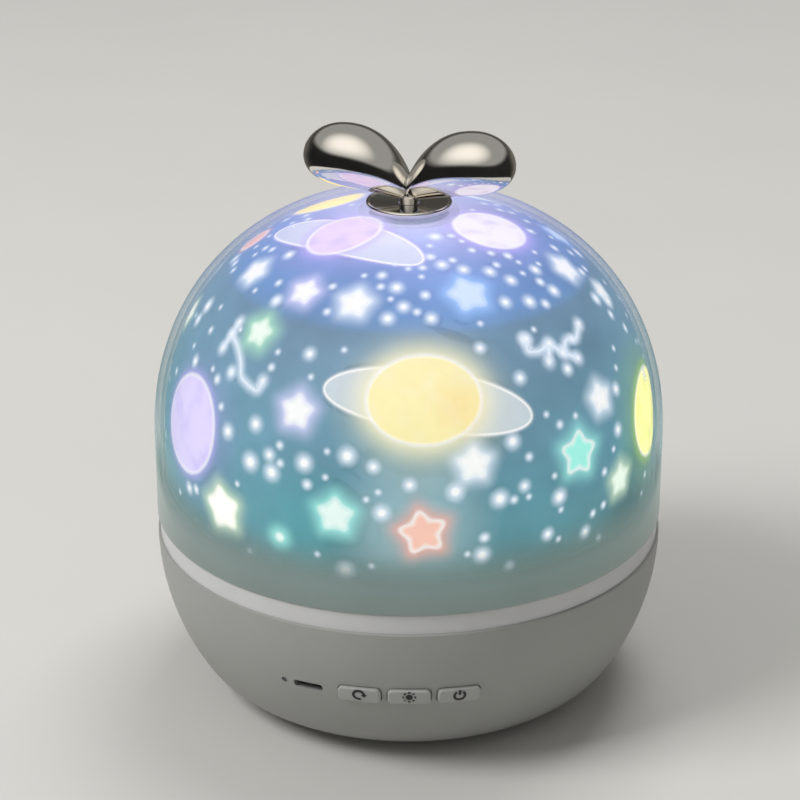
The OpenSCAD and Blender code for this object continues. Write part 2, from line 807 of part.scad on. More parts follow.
module lamp_board()
    color(white_abs)
    difference() {
        translate([0, 0, tower_z]) cylinder(r = tower_r - 0.4, h = lamp_board_t);
        for (x = [-1, 1])
            translate([x * lamp_screw_x, 0, tower_z - overrun])
                cylinder(r = lamp_screw_r + 2 * seat_gap, h = lamp_board_t + 2 * overrun,
                         $fn = round_fn);
    }

module lamp_chips()
    color(chip_yellow)
    for (x = [-1, 1], y = [-1, 1])
        translate([x * chip_pitch / 2, y * chip_pitch / 2, lamp_top_z + chip_h / 2])
            cube([chip_w, chip_w, chip_h], center = true);

module lamp_lens()
    color(clear_plastic)
    translate([0, 0, lamp_top_z])
        intersection() {
            difference() {
                sphere(lens_r);
                sphere(lens_r - lens_wall);
            }
            cylinder(r = 2 * lens_r, h = 2 * lens_r);
        }

module lamp_screws()
    color(steel)
    for (x = [-1, 1])
        translate([x * lamp_screw_x, 0, lamp_top_z + 1])
            rotate([180, 0, 0]) screw(lamp_screw_r, lamp_screw_l, lamp_head_r, 1);

// ---------------------------------------------------------------- films

module film_carrier()
    color(clear_plastic)
    skin_layer_from(carrier_out, carrier_in, table_top_z, crown_angle(carrier_hole_r, carrier_out));

module side_film()
    color(print_blue)
    skin_layer_from(film_out, film_in, table_top_z, film_seam_a);

module top_film()
    color(print_violet)
    skin_layer(film_out, film_in, film_seam_a + 0.3, crown_angle(carrier_hole_r, film_out));

module film_retainer()
    color(clear_plastic)
    let (lap_a = crown_angle(carrier_hole_r + retainer_w, retainer_out),
         low_z = skin_pt(90, carrier_in + 1)[1] - 0.5,
         r = carrier_hole_r - slide_gap,
         mid = retainer_out + retainer_t / 2,
         top_z = skin_pt(crown_angle(r, mid), mid)[1])
    union() {
        skin_layer(retainer_out, retainer_out + retainer_t, lap_a,
                   crown_angle(r - 1, retainer_out));
        ring(r - 1, r, low_z, top_z - low_z);
    }

// ---------------------------------------------------------------- shade

module shade_dome()
    color(frosted)
    difference() {
        union() {
            skin_layer_from(0, shade_wall, shade_z, 90);
            translate([0, 0, seat_z - seat_wall])
                cylinder(r = seat_boss_r, h = seat_wall);
        }
        translate([0, 0, seat_z]) cylinder(r = seat_r, h = dish_seat + overrun);
        translate([0, 0, seat_z - seat_wall - overrun])
            cylinder(r = handle_post_r + post_clear, h = seat_wall + 2 * overrun, $fn = round_fn);
    }

module handle_dish()
    color(chrome)
    translate([0, 0, seat_z]) {
        ring(handle_post_r + post_clear, dish_r - dish_rim_r, 0, dish_t);
        rotate_extrude()
            translate([dish_r - dish_rim_r, dish_rim_r]) circle(dish_rim_r, $fn = round_fn);
    }

// Swell of a leaf at a share u of its reach: an ellipse inside its middle, blunter outside
function leaf_swell(u) =
    u < leaf_mid ? sqrt(1 - (1 - pow(leaf_root, 2)) * pow(1 - u / leaf_mid, 2))
                 : sqrt(max(1 - pow((u - leaf_mid) / (1 - leaf_mid), leaf_blunt), 0));
function leaf_centre_z(u) =
    leaf_root_z + leaf_rise * (1 - exp(-u * leaf_reach / leaf_bend)) - leaf_droop * u * u;

// Rings from the axis out to the tip, closer together near the tip
leaf_u = [for (i = [0:leaf_rings]) sin(90 * i / leaf_rings)];
leaf_points = concat(
    [for (i = [0:leaf_rings - 1]) for (k = [0:leaf_sides - 1])
        let (u = leaf_u[i], a = 360 * k / leaf_sides)
        [leaf_reach * u, leaf_half_w * leaf_swell(u) * cos(a),
         leaf_centre_z(u) + leaf_half_h * leaf_swell(u) * sin(a)]],
    [[0, 0, leaf_centre_z(0)], [leaf_reach, 0, leaf_centre_z(1)]]);
leaf_root_id = leaf_rings * leaf_sides;
leaf_faces = concat(
    [for (i = [0:leaf_rings - 2]) for (k = [0:leaf_sides - 1])
        let (n = (k + 1) % leaf_sides, p = i * leaf_sides, q = p + leaf_sides)
        each [[p + k, q + k, q + n], [p + k, q + n, p + n]]],
    [for (k = [0:leaf_sides - 1]) [leaf_root_id, k, (k + 1) % leaf_sides]],
    [for (k = [0:leaf_sides - 1])
        let (p = (leaf_rings - 1) * leaf_sides)
        [leaf_root_id + 1, p + (k + 1) % leaf_sides, p + k]]);

module leaf()
    polyhedron(points = leaf_points, faces = leaf_faces);

module sprout_handle()
    color(chrome)
    difference() {
        union() {
            rotate([0, 0, leaf_turn]) {
                leaf();
                mirror([1, 0, 0]) leaf();
            }
            translate([0, 0, seat_z - seat_wall])
                cylinder(r = handle_post_r, h = leaf_root_z - seat_z + seat_wall, $fn = round_fn);
        }
        translate([0, 0, seat_z - seat_wall - overrun])
            cylinder(r = handle_screw_r + seat_gap, h = handle_screw_l + overrun, $fn = round_fn);
    }

module handle_washer()
    color(clear_plastic)
    ring(handle_screw_r + slide_gap, washer_r, seat_z - seat_wall - handle_washer_t,
         handle_washer_t);

module handle_screw()
    color(steel)
    translate([0, 0, seat_z - seat_wall - handle_washer_t - handle_head_t])
        screw(handle_screw_r, handle_screw_l, 2 * handle_screw_r, handle_head_t);

// ---------------------------------------------------------------- buttons

module button_cap(a)
    color(white_abs)
    union() {
        intersection() {
            outward(a, button_z, flange_r - flange_t / 2, body_r + 2)
                rounded_rect(button_w, button_h, button_round);
            rotate_extrude()
                polygon(concat(bowl_line(-button_proud), [[0, foot_h - button_proud],
                                                          [0, rim_z]]));
        }
        outward(a, button_z, flange_r - flange_t, flange_r)
            rounded_rect(button_w, button_h + 2 * flange_lap, button_round);
        outward(a, button_z, stem_in_r, flange_r - flange_t / 2)
            square([stem_w, stem_h], center = true);
    }

module plunger(a)
    color(black_resin)
    outward(a, button_z, stem_in_r - plunger_l, stem_in_r)
        square([plunger_w, plunger_h], center = true);

module rotate_button() button_cap(button_a[0]);
module light_button() button_cap(button_a[1]);
module power_button() button_cap(button_a[2]);
module rotate_plunger() plunger(button_a[0]);
module light_plunger() plunger(button_a[1]);
module power_plunger() plunger(button_a[2]);

// ---------------------------------------------------------------- cables

// Catmull-Rom point between p[i] and p[i + 1]
function spline_pt(p, i, t) =
    let (a = p[max(i - 1, 0)], b = p[i], c = p[i + 1], d = p[min(i + 2, len(p) - 1)])
    0.5 * (2 * b + (c - a) * t + (2 * a - 5 * b + 4 * c - d) * t * t
           + (3 * b - a - 3 * c + d) * t * t * t);
function spline(p) = concat(
    [for (i = [0:len(p) - 2]) for (k = [0:cable_steps - 1]) spline_pt(p, i, k / cable_steps)],
    [p[len(p) - 1]]);
function unit(v) = v / norm(v);

// A tube along a route; side is a direction that the route never takes
module tube(route, side) {
    line = spline(route);
    last = len(line) - 1;
    points = [for (i = [0:last]) for (k = [0:cable_sides - 1])
        let (t = i == 0 ? unit(route[1] - route[0])
                 : i == last ? unit(route[len(route) - 1] - route[len(route) - 2])
                 : unit(line[i + 1] - line[i - 1]),
             u = unit(cross(t, side)), v = cross(t, u), a = 360 * k / cable_sides)
        line[i] + cable_r * (u * cos(a) + v * sin(a))];
    faces = concat(
        [[for (k = [0:cable_sides - 1]) k]],
        [for (i = [0:last - 1]) for (k = [0:cable_sides - 1])
            let (n = (k + 1) % cable_sides, p = i * cable_sides, q = p + cable_sides)
            each [[p + k, q + k, q + n], [p + k, q + n, p + n]]],
        [[for (k = [cable_sides - 1:-1:0]) last * cable_sides + k]]);
    polyhedron(points = points, faces = faces);
}

module led_cable() color(cable_red) tube(led_route, [0.3, 1, 0]);
module motor_cable() color(cable_red) tube(motor_route, [1, 0, 0]);
module battery_cable() color(cable_red) tube(battery_route, [0.5, 1, 0.2]);

// ---------------------------------------------------------------- nodes

base_bowl();
rubber_feet();
top_deck();
deck_screws();
circuit_board();
board_screws();
control_chip();
charge_chip();
choke_coil();
usb_shell();
usb_tongue();
switch_bodies();
indicator_led();
indicator_light_pipe();
cable_sockets();
cable_plugs();
battery_cell();
battery_cradle();
battery_contacts();
gear_case();
motor_can();
motor_screws();
led_cable();
motor_cable();
battery_cable();
table_washer();
table_clip();
lamp_board();
lamp_chips();
lamp_lens();
lamp_screws();
turntable();
film_carrier();
side_film();
top_film();
film_retainer();
motor_shaft();
drive_pinion();
shade_dome();
handle_dish();
sprout_handle();
handle_washer();
handle_screw();
rotate_button();
light_button();
power_button();
rotate_plunger();
light_plunger();
power_plunger();
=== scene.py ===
"""Looks of the star night light: mirror sprout, frosted shade, glowing star films and white base.

Sizes are in millimetres with the origin on the table under the middle of the base, and
each mesh is scaled to metres when it is made. The buttons face -Y and +Z is up.
"""

from __future__ import annotations

import logging
import math
from dataclasses import dataclass, field
from enum import Enum
from typing import Any, Iterable, Sequence

import bmesh
import bpy
import numpy as np
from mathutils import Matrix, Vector

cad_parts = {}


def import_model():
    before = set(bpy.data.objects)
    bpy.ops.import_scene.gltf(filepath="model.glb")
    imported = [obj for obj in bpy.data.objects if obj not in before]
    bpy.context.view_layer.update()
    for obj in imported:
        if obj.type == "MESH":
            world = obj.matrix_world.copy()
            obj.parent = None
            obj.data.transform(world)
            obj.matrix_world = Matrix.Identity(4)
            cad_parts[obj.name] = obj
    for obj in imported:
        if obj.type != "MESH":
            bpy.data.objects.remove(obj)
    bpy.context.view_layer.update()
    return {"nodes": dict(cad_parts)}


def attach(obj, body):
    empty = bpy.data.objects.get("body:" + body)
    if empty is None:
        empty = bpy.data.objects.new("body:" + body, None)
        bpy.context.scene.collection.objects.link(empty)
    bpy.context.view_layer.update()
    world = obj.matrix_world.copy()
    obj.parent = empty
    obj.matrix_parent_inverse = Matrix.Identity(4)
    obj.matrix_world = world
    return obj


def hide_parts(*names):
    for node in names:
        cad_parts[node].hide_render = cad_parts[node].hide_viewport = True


MM = 0.001
MM_IN_METRE = 1000.0
Colour = tuple[float, float, float]
LOG = logging.getLogger("night_light")


def paint(red: int, green: int, blue: int) -> Colour:
    """Linear colour of an 8-bit display colour, by the usual display curve.

    Args:
        red: red, 0 to 255.
        green: green, 0 to 255.
        blue: blue, 0 to 255.

    Returns:
        The three linear values, 0 to 1.
    """
    parts = np.array([red, green, blue], float) / 255
    linear = np.where(parts <= 0.04045, parts / 12.92, ((parts + 0.055) / 1.055) ** 2.4)
    return tuple(float(v) for v in linear)


# The frosted shade as the films are seen through it: the share of their light that it lets
# through, and the light that it adds itself
CLEAR = 0.72
VEIL = (0.13, 0.16, 0.19)


def behind_shade(red: int, green: int, blue: int) -> Colour:
    """Colour that a lit print needs to show as an 8-bit colour through the frosted shade.

    The shade lets CLEAR of the print's light through and adds VEIL.

    Args:
        red: red, 0 to 255.
        green: green, 0 to 255.
        blue: blue, 0 to 255.

    Returns:
        The three linear values, which may be above 1.
    """
    seen = paint(red, green, blue)
    return tuple(max(value - veil, 0.0) / CLEAR for value, veil in zip(seen, VEIL))


def shaded(colour: Colour, share: float) -> Colour:
    """The colour with its three values multiplied by share."""
    return tuple(value * share for value in colour)


CORE = behind_shade(255, 255, 255)


# ---------------------------------------------------------------- shader tools


class Num:
    """A number socket on which Python's operators add Math nodes."""

    def __init__(self, bench: "Bench", socket: bpy.types.NodeSocket) -> None:
        """Keeps the socket and the bench that its nodes are added on."""
        self.bench = bench
        self.socket = socket

    def __add__(self, other: Any) -> "Num":
        """self + other."""
        return self.bench.maths("ADD", self, other)

    def __sub__(self, other: Any) -> "Num":
        """self - other."""
        return self.bench.maths("SUBTRACT", self, other)

    def __rsub__(self, other: Any) -> "Num":
        """other - self."""
        return self.bench.maths("SUBTRACT", other, self)

    def __mul__(self, other: Any) -> "Num":
        """self * other."""
        return self.bench.maths("MULTIPLY", self, other)

    def __truediv__(self, other: Any) -> "Num":
        """self / other."""
        return self.bench.maths("DIVIDE", self, other)

    def __pow__(self, other: Any) -> "Num":
        """self to the power of other."""
        return self.bench.maths("POWER", self, other)

    __radd__ = __add__
    __rmul__ = __mul__

    def most(self, other: Any) -> "Num":
        """The larger of self and other."""
        return self.bench.maths("MAXIMUM", self, other)

    def clipped(self) -> "Num":
        """self held between 0 and 1."""
        return self.bench.maths("MINIMUM", self.most(0.0), 1.0)

    def size(self) -> "Num":
        """self without its sign."""
        return self.bench.maths("ABSOLUTE", self, 0.0)

    def about(self, spread: float) -> "Num":
        """A noise made to swing evenly round 0, from end to end as wide as spread."""
        return (self - 0.5) * spread

    def step(self, low: float, high: float) -> "Num":
        """A soft step that is 0 at low and 1 at high, also where low is above high."""
        share = ((self - low) / (high - low)).clipped()
        return share * share * (3.0 - share * 2.0)


class Bench:
    """The node tree of one material, with short ways to add its nodes."""

    def __init__(self, name: str) -> None:
        """Makes an empty node material.

        Args:
            name: the material's name.
        """
        self.material = bpy.data.materials.new(name)
        self.material.use_nodes = True
        self.tree = self.material.node_tree
        self.tree.nodes.clear()

    def add(
        self,
        kind: str,
        settings: dict[str, Any] | None = None,
        sockets: dict[Any, Any] | None = None,
        out: Any = 0,
    ) -> bpy.types.NodeSocket:
        """Adds a node.

        Args:
            kind: the node's type without its ShaderNode prefix.
            settings: properties that are set first; "stops" fills a colour ramp.
            sockets: values or links of its inputs, by name or number.
            out: name or number of the output that is wanted.

        Returns:
            The output socket.
        """
        node = self.tree.nodes.new("ShaderNode" + kind)
        for key, value in (settings or {}).items():
            if key == "stops":
                self._fill_ramp(node.color_ramp, value)
            else:
                setattr(node, key, value)
        for key, value in (sockets or {}).items():
            self.feed(node.inputs[key], value)
        return node.outputs[out] if len(node.outputs) else node

    def feed(self, socket: bpy.types.NodeSocket, value: Any) -> None:
        """Links or sets an input socket.

        Args:
            socket: the input.
            value: a Num, an output socket, a number or a colour.
        """
        if isinstance(value, Num):
            self.tree.links.new(value.socket, socket)
        elif isinstance(value, bpy.types.NodeSocket):
            self.tree.links.new(value, socket)
        elif isinstance(value, tuple) and socket.type == "RGBA":
            socket.default_value = (*value[:3], 1.0)
        else:
            socket.default_value = value

    @staticmethod
    def _fill_ramp(ramp: bpy.types.ColorRamp, stops: Sequence[tuple[float, Colour]]) -> None:
        """Gives a colour ramp its stops.

        Args:
            ramp: the ramp, with two elements at first.
            stops: positions, 0 to 1, and colours.
        """
        while len(ramp.elements) < len(stops):
            ramp.elements.new(1.0)
        for element, (place, colour) in zip(ramp.elements, stops):
            element.position = place
            element.color = (*colour, 1.0)

    def maths(self, operation: str, first: Any, second: Any) -> Num:
        """One Math node's result as a Num."""
        return Num(self, self.add("Math", {"operation": operation}, {0: first, 1: second}))

    def mix(self, share: Any, first: Any, second: Any) -> bpy.types.NodeSocket:
        """Mixes two colours.

        Args:
            share: how much of the second, 0 to 1.
            first: colour or socket.
            second: colour or socket.

        Returns:
            The mixed colour's socket.
        """
        return self.add("Mix", {"data_type": "RGBA"}, {0: share, 6: first, 7: second}, 2)

    def scaled(self, colour: Any, share: Any) -> bpy.types.NodeSocket:
        """A colour multiplied by a number."""
        return self.add("VectorMath", {"operation": "SCALE"}, {0: colour, "Scale": share})

    def place(self) -> bpy.types.NodeSocket:
        """The point in the object's own coordinates, in metres."""
        return self.add("TexCoord", out="Object")

    def along(self, axis: str) -> Num:
        """The point's coordinate along an axis, in millimetres; along Z it is its height."""
        part = self.add("SeparateXYZ", sockets={0: self.place()}, out=axis)
        return Num(self, part) * MM_IN_METRE

    def value(self, key: str, out: str = "Fac") -> bpy.types.NodeSocket:
        """The socket that carries one of the values written into the mesh."""
        return self.add("Attribute", {"attribute_name": key}, out=out)

    def stretched(self, scale: tuple[float, float, float]) -> bpy.types.NodeSocket:
        """The object's coordinates stretched along its axes."""
        return self.add("Mapping", sockets={"Vector": self.place(), "Scale": scale})

    def noise(self, size: float, detail: float = 3.0, place: Any = None) -> Num:
        """Soft noise about 0.5.

        Args:
            size: size of its blots, in millimetres.
            detail: number of finer layers.
            place: coordinates, the object's own if left out.

        Returns:
            The noise as a Num.
        """
        scale = MM_IN_METRE / size
        sockets = {"Vector": place or self.place(), "Scale": scale, "Detail": detail}
        return Num(self, self.add("TexNoise", sockets=sockets))

    def bump(self, height: Any, depth: float) -> bpy.types.NodeSocket:
        """A normal bent by a height map.

        Args:
            height: the height map, 0 to 1.
            depth: depth of a full step, in millimetres.

        Returns:
            The normal's socket.
        """
        return self.add("Bump", sockets={"Height": height, "Distance": depth * MM})

    def finish(self, **sockets: Any) -> bpy.types.Material:
        """Ends the tree in one Principled shader.

        Args:
            **sockets: its inputs, with underscores for the spaces in their names.

        Returns:
            The finished material.
        """
        named = {key.replace("_", " "): value for key, value in sockets.items()}
        shader = self.add("BsdfPrincipled", sockets=named)
        self.add("OutputMaterial", sockets={"Surface": shader})
        return self.material


# ---------------------------------------------------------------- finishes


@dataclass(frozen=True)
class MouldedPlastic:
    """Satin injection-moulded plastic: a fine spark-eroded grain and faint flow clouds.

    The grain's size and depth and the clouds' size are in millimetres. The clouds darken
    the colour by up to twice cloud.
    """

    name: str
    colour: Colour
    roughness: float = 0.42
    grain: float = 0.35
    depth: float = 0.012
    cloud: float = 0.05
    see_through: float = 0.0
    cloud_size: float = 14.0

    def make(self) -> bpy.types.Material:
        """Builds the material.

        Returns:
            The material.
        """
        bench = Bench(self.name)
        cloud = bench.noise(self.cloud_size, 4.0)
        fine = bench.noise(self.grain, 2.0)
        darker = shaded(self.colour, 1 - 2 * self.cloud)
        return bench.finish(
            Base_Color=bench.mix(cloud, darker, self.colour),
            Roughness=cloud.about(0.12) + fine.about(0.06) + self.roughness,
            Normal=bench.bump(fine, self.depth),
            Alpha=1.0 - self.see_through,
        )


class Marks(Enum):
    """The surface marks that a hard finish can carry."""

    BRUSHED = "brushed"
    TURNED = "turned"
    WOUND = "wound"
    TRACES = "traces"
    SPECKLED = "speckled"


@dataclass(frozen=True)
class HardFinish:
    """A metal, resin, rubber or board finish with one kind of surface mark.

    The marks' size and depth and the smudges' size are in millimetres.
    """

    name: str
    colour: Colour
    second: Colour
    marks: Marks
    metallic: float = 0.0
    roughness: float = 0.4
    size: float = 0.5
    depth: float = 0.02
    smudge_size: float = 6.0

    def make(self) -> bpy.types.Material:
        """Builds the material.

        Returns:
            The material.
        """
        bench = Bench(self.name)
        pattern = self._pattern(bench)
        smudge = bench.noise(self.smudge_size)
        return bench.finish(
            Base_Color=bench.mix(pattern, self.colour, self.second),
            Metallic=self.metallic,
            Roughness=pattern.about(0.1) + smudge.about(0.15) + self.roughness,
            Normal=bench.bump(pattern, self.depth),
        )

    def _pattern(self, bench: Bench) -> Num:
        """Makes the marks.

        Args:
            bench: where their nodes are added.

        Returns:
            A mask from 0 to 1.
        """
        if self.marks is Marks.BRUSHED:
            return bench.noise(self.size, 3.0, bench.stretched((1.0, 1.0, 0.06)))
        if self.marks is Marks.TURNED:
            return bench.noise(self.size, 3.0, bench.stretched((0.1, 0.1, 1.0)))
        if self.marks is Marks.WOUND:
            wave = {"Vector": bench.place(), "Scale": 314.0 / self.size, "Distortion": 0.3}
            return Num(bench, bench.add("TexWave", {"bands_direction": "Z"}, wave))
        if self.marks is Marks.TRACES:
            brick = {
                "Vector": bench.place(), "Scale": MM_IN_METRE / self.size, "Mortar Size": 0.03,
                "Color1": (0.0, 0.0, 0.0), "Color2": (0.12, 0.12, 0.12), "Mortar": (1.0, 1.0, 1.0),
            }
            return Num(bench, bench.add("TexBrick", sockets=brick))
        return bench.noise(self.size, 4.0).step(0.42, 0.6)


@dataclass(frozen=True)
class MirrorPlate:
    """Bright plating on moulded plastic: nearly a mirror, with faint wipe marks and dust.

    The sizes of the wipe marks, the dust and the plastic's waves are in millimetres.
    """

    name: str
    colour: Colour = (0.84, 0.815, 0.77)
    roughness: float = 0.06
    wipe_size: float = 5.0
    dust_size: float = 0.5
    wave_size: float = 11.0
    wave_depth: float = 0.012

    def make(self) -> bpy.types.Material:
        """Builds the material.

        Returns:
            The material.
        """
        bench = Bench(self.name)
        wipe = bench.noise(self.wipe_size, 4.0, bench.stretched((0.35, 1.0, 1.0)))
        dust = bench.noise(self.dust_size, 2.0).step(0.66, 0.8)
        warmer = tuple(c * k for c, k in zip(self.colour, (0.97, 0.955, 0.93)))
        return bench.finish(
            Base_Color=bench.mix(wipe, self.colour, warmer),
            Metallic=1.0,
            Roughness=wipe * 0.035 + dust * 0.03 + self.roughness,
            Normal=bench.bump(bench.noise(self.wave_size, 1.0), self.wave_depth),
        )


@dataclass(frozen=True)
class HeightGlow:
    """A glow whose colour follows the height above the table."""

    low: float
    high: float
    stops: tuple[tuple[float, Colour], ...]

    def colour(self, bench: Bench) -> bpy.types.NodeSocket:
        """Makes the glow's colour at each point.

        Args:
            bench: where its nodes are added.

        Returns:
            The colour's socket.
        """
        span = self.high - self.low
        share = ((bench.along("Z") - self.low) / span).clipped()
        stops = [((z - self.low) / span, colour) for z, colour in self.stops]
        return bench.add("ValToRGB", {"stops": stops}, {0: share})


@dataclass(frozen=True)
class FrostedShell:
    """Thin frosted plastic that glows softly: see-through enough to show the print behind it.

    cover is how much it hides where it faces the eye, rim_cover what its rims add and
    hem_cover what it hides below the films, fading in between two heights.
    """

    name: str
    glow: HeightGlow
    body: Colour = (0.11, 0.12, 0.125)
    roughness: float = 0.34
    frost_size: float = 0.3
    frost_depth: float = 0.008
    cloud_size: float = 18.0
    cover: float = 0.15
    rim_cover: float = 0.95
    hem_cover: float = 0.9
    hem_low: float = 52.5
    hem_high: float = 64.0

    def make(self) -> bpy.types.Material:
        """Builds the material.

        Returns:
            The material.
        """
        bench = Bench(self.name)
        fine = bench.noise(self.frost_size, 2.0)
        cloud = bench.noise(self.cloud_size, 2.0)
        hem = bench.along("Z").step(self.hem_high, self.hem_low) * (self.hem_cover - self.cover)
        rim = Num(bench, bench.add("LayerWeight", out="Facing")) ** 6 * self.rim_cover
        return bench.finish(
            Base_Color=bench.mix(cloud, self.body, shaded(self.body, 1.15)),
            Roughness=fine.about(0.1) + self.roughness,
            Alpha=(hem + rim + self.cover + cloud.about(0.04)).clipped(),
            Emission_Color=bench.scaled(self.glow.colour(bench), cloud * 0.2 + 0.9),
            Emission_Strength=1.0,
            Normal=bench.bump(fine, self.frost_depth),
            Coat_Weight=0.4,
            Coat_Roughness=0.1,
        )


@dataclass(frozen=True)
class SkyFilm:
    """Printed film lit from behind: a night sky whose colour drifts with height, with clouds."""

    name: str
    glow: HeightGlow
    ink: Colour = (0.05, 0.09, 0.14)
    cloud_size: float = 26.0
    haze_size: float = 9.0
    weave_size: float = 0.6
    weave_depth: float = 0.004

    def make(self) -> bpy.types.Material:
        """Builds the material.

        Returns:
            The material.
        """
        bench = Bench(self.name)
        cloud = bench.noise(self.cloud_size, 2.5)
        haze = bench.noise(self.haze_size)
        brightness = cloud * 0.9 + haze * 0.3 + 0.4
        return bench.finish(
            Base_Color=bench.mix(haze, self.ink, shaded(self.ink, 1.6)),
            Roughness=haze.about(0.1) + 0.45,
            Emission_Color=bench.scaled(self.glow.colour(bench), brightness),
            Emission_Strength=1.0,
            Normal=bench.bump(bench.noise(self.weave_size, 2.0), self.weave_depth),
        )


@dataclass(frozen=True)
class PrintGlow:
    """One kind of printed figure lit from behind.

    Its shader reads "inset", how far a point lies inside the figure's outline in
    millimetres, "fade", which is 1 on the outline and 0 where the halo ends, "tint", the
    figure's colour, and "aura", its halo's. fill, edge and halo say how strongly the inside,
    the outline and the halo cover the sky, and swirl how much the halo's colour clouds the
    inside. soften and edge_width are in millimetres. The halo is painted glow: the light that
    the frosted shade spreads round each figure, painted on the film.
    """

    name: str
    fill: float = 1.0
    swirl: float = 0.0
    edge: float = 0.0
    edge_width: float = 0.4
    halo: float = 0.6
    halo_fall: float = 1.6
    soften: float = 0.12
    grain_size: float = 3.0
    swirl_size: float = 6.0

    def make(self) -> bpy.types.Material:
        """Builds the material.

        Returns:
            The material.
        """
        bench = Bench(self.name)
        inset, fade = (Num(bench, bench.value(key)) for key in ("inset", "fade"))
        tint, aura = (bench.value(key, "Color") for key in ("tint", "aura"))
        grain = bench.noise(self.grain_size)
        inside = inset.step(-self.soften, self.soften)
        line = (1.0 - inset.size() / self.edge_width).clipped() * self.edge
        halo = fade.clipped() ** self.halo_fall * self.halo
        swirl = bench.noise(self.swirl_size, 2.0).step(0.45, 0.75) * self.swirl
        body = bench.mix(inside, aura, bench.mix(swirl, tint, aura))
        lit = bench.mix(line, body, CORE)
        return bench.finish(
            Base_Color=bench.mix(grain, (0.05, 0.05, 0.05), (0.08, 0.08, 0.08)),
            Roughness=0.5,
            Alpha=(inside * self.fill).most(halo).most(line).clipped(),
            Emission_Color=bench.scaled(lit, grain * 0.08 + 0.96),
            Emission_Strength=1.0,
        )


@dataclass(frozen=True)
class FloorPaint:
    """Dull pale paint with faint clouds. Its sizes are in millimetres."""

    name: str
    colour: Colour = (0.60, 0.59, 0.565)
    roughness: float = 0.6
    cloud_size: float = 90.0
    grain_size: float = 1.2
    grain_depth: float = 0.02

    def make(self) -> bpy.types.Material:
        """Builds the material.

        Returns:
            The material.
        """
        bench = Bench(self.name)
        cloud = bench.noise(self.cloud_size)
        fine = bench.noise(self.grain_size, 2.0)
        return bench.finish(
            Base_Color=bench.mix(cloud, shaded(self.colour, 0.95), self.colour),
            Roughness=fine.about(0.1) + self.roughness,
            Specular_IOR_Level=0.0,
            Normal=bench.bump(fine, self.grain_depth),
        )


@dataclass(frozen=True)
class DarkCard:
    """Black card that fades out at its top and is paler low at the back.

    Its shader reads "rise", which is 0 at the card's foot and 1 at its top. pale_y says
    between which distances behind the middle it grows paler, in millimetres, pale_rise
    between which rises, and fade_rise between which rises it fades out.
    """

    name: str
    black: Colour = (0.008, 0.008, 0.008)
    pale: Colour = (0.17, 0.163, 0.145)
    cloud_size: float = 60.0
    pale_y: tuple[float, float] = (20.0, 200.0)
    pale_rise: tuple[float, float] = (0.68, 0.4)
    pale_least: float = 0.26
    fade_rise: tuple[float, float] = (1.0, 0.66)

    def make(self) -> bpy.types.Material:
        """Builds the material.

        Returns:
            The material.
        """
        bench = Bench(self.name)
        rise = Num(bench, bench.value("rise"))
        black = bench.mix(bench.noise(self.cloud_size, 2.0), self.black, shaded(self.black, 2.0))
        low = rise.step(*self.pale_rise) * (1 - self.pale_least) + self.pale_least
        return bench.finish(
            Base_Color=bench.mix(bench.along("Y").step(*self.pale_y) * low, black, self.pale),
            Roughness=0.9,
            Alpha=rise.step(*self.fade_rise),
        )


@dataclass(frozen=True)
class WindowLight:
    """Pale light of a round window, full in its middle and gone at its rim."""

    name: str
    radius: float
    colour: Colour = (1.0, 0.97, 0.91)
    strength: float = 1.15
    full: float = 0.08

    def make(self) -> bpy.types.Material:
        """Builds the material.

        Returns:
            The material.
        """
        bench = Bench(self.name)
        length = {"operation": "LENGTH"}
        away = Num(bench, bench.add("VectorMath", length, {0: bench.place()}, "Value"))
        shown = (away * MM_IN_METRE / self.radius).step(1.0, self.full)
        glow = bench.add("Emission", sockets={"Color": self.colour, "Strength": self.strength})
        clear = bench.add("BsdfTransparent")
        mixed = bench.add("MixShader", sockets={0: shown, 1: clear, 2: glow})
        bench.add("OutputMaterial", sockets={"Surface": mixed})
        return bench.material


# ---------------------------------------------------------------- mesh tools


def grid_faces(rows: int, cols: int, ring: bool = False) -> np.ndarray:
    """Quads of a grid whose point (i, j) is number i * cols + j.

    Args:
        rows: number of rows.
        cols: number of points in a row.
        ring: True to join the last point of each row to its first.

    Returns:
        One quad a line, seen anticlockwise where rows run up and points run right.
    """
    i = np.arange(rows - 1)[:, None] * cols
    j = np.arange(cols if ring else cols - 1)[None, :]
    k = (j + 1) % cols
    return np.stack([i + j, i + k, i + cols + k, i + cols + j], -1).reshape(-1, 4)


def around(steps: int) -> np.ndarray:
    """Angles in radians, evenly spaced once round from 0."""
    return np.linspace(0, 2 * np.pi, steps, endpoint=False)


def disc(radii: np.ndarray, sides: int) -> tuple[np.ndarray, np.ndarray]:
    """A flat disc at height 0: radius r and angle t become (r cos t, r sin t, 0).

    Args:
        radii: radii of its rings, from the middle outwards.
        sides: steps once round.

    Returns:
        The points and the quads.
    """
    turn, r = around(sides), radii[:, None]
    points = np.stack([r * np.cos(turn), r * np.sin(turn), 0 * r + 0 * turn], -1)
    return points.reshape(-1, 3), grid_faces(len(radii), sides, ring=True)


def revolve(profile: np.ndarray, sides: int) -> tuple[np.ndarray, np.ndarray]:
    """Surface of revolution: (r, z) becomes (r cos t, r sin t, z) for t once round.

    Args:
        profile: (r, z) points of a closed loop, going up on the outer side.
        sides: steps once round.

    Returns:
        The points and the quads.
    """
    turn = around(sides)
    loop = np.vstack([profile, profile[:1]])
    r, z = loop[:, :1], loop[:, 1:]
    points = np.stack([r * np.cos(turn), r * np.sin(turn), z + 0 * turn], -1)
    return points.reshape(-1, 3), grid_faces(len(loop), sides, ring=True)


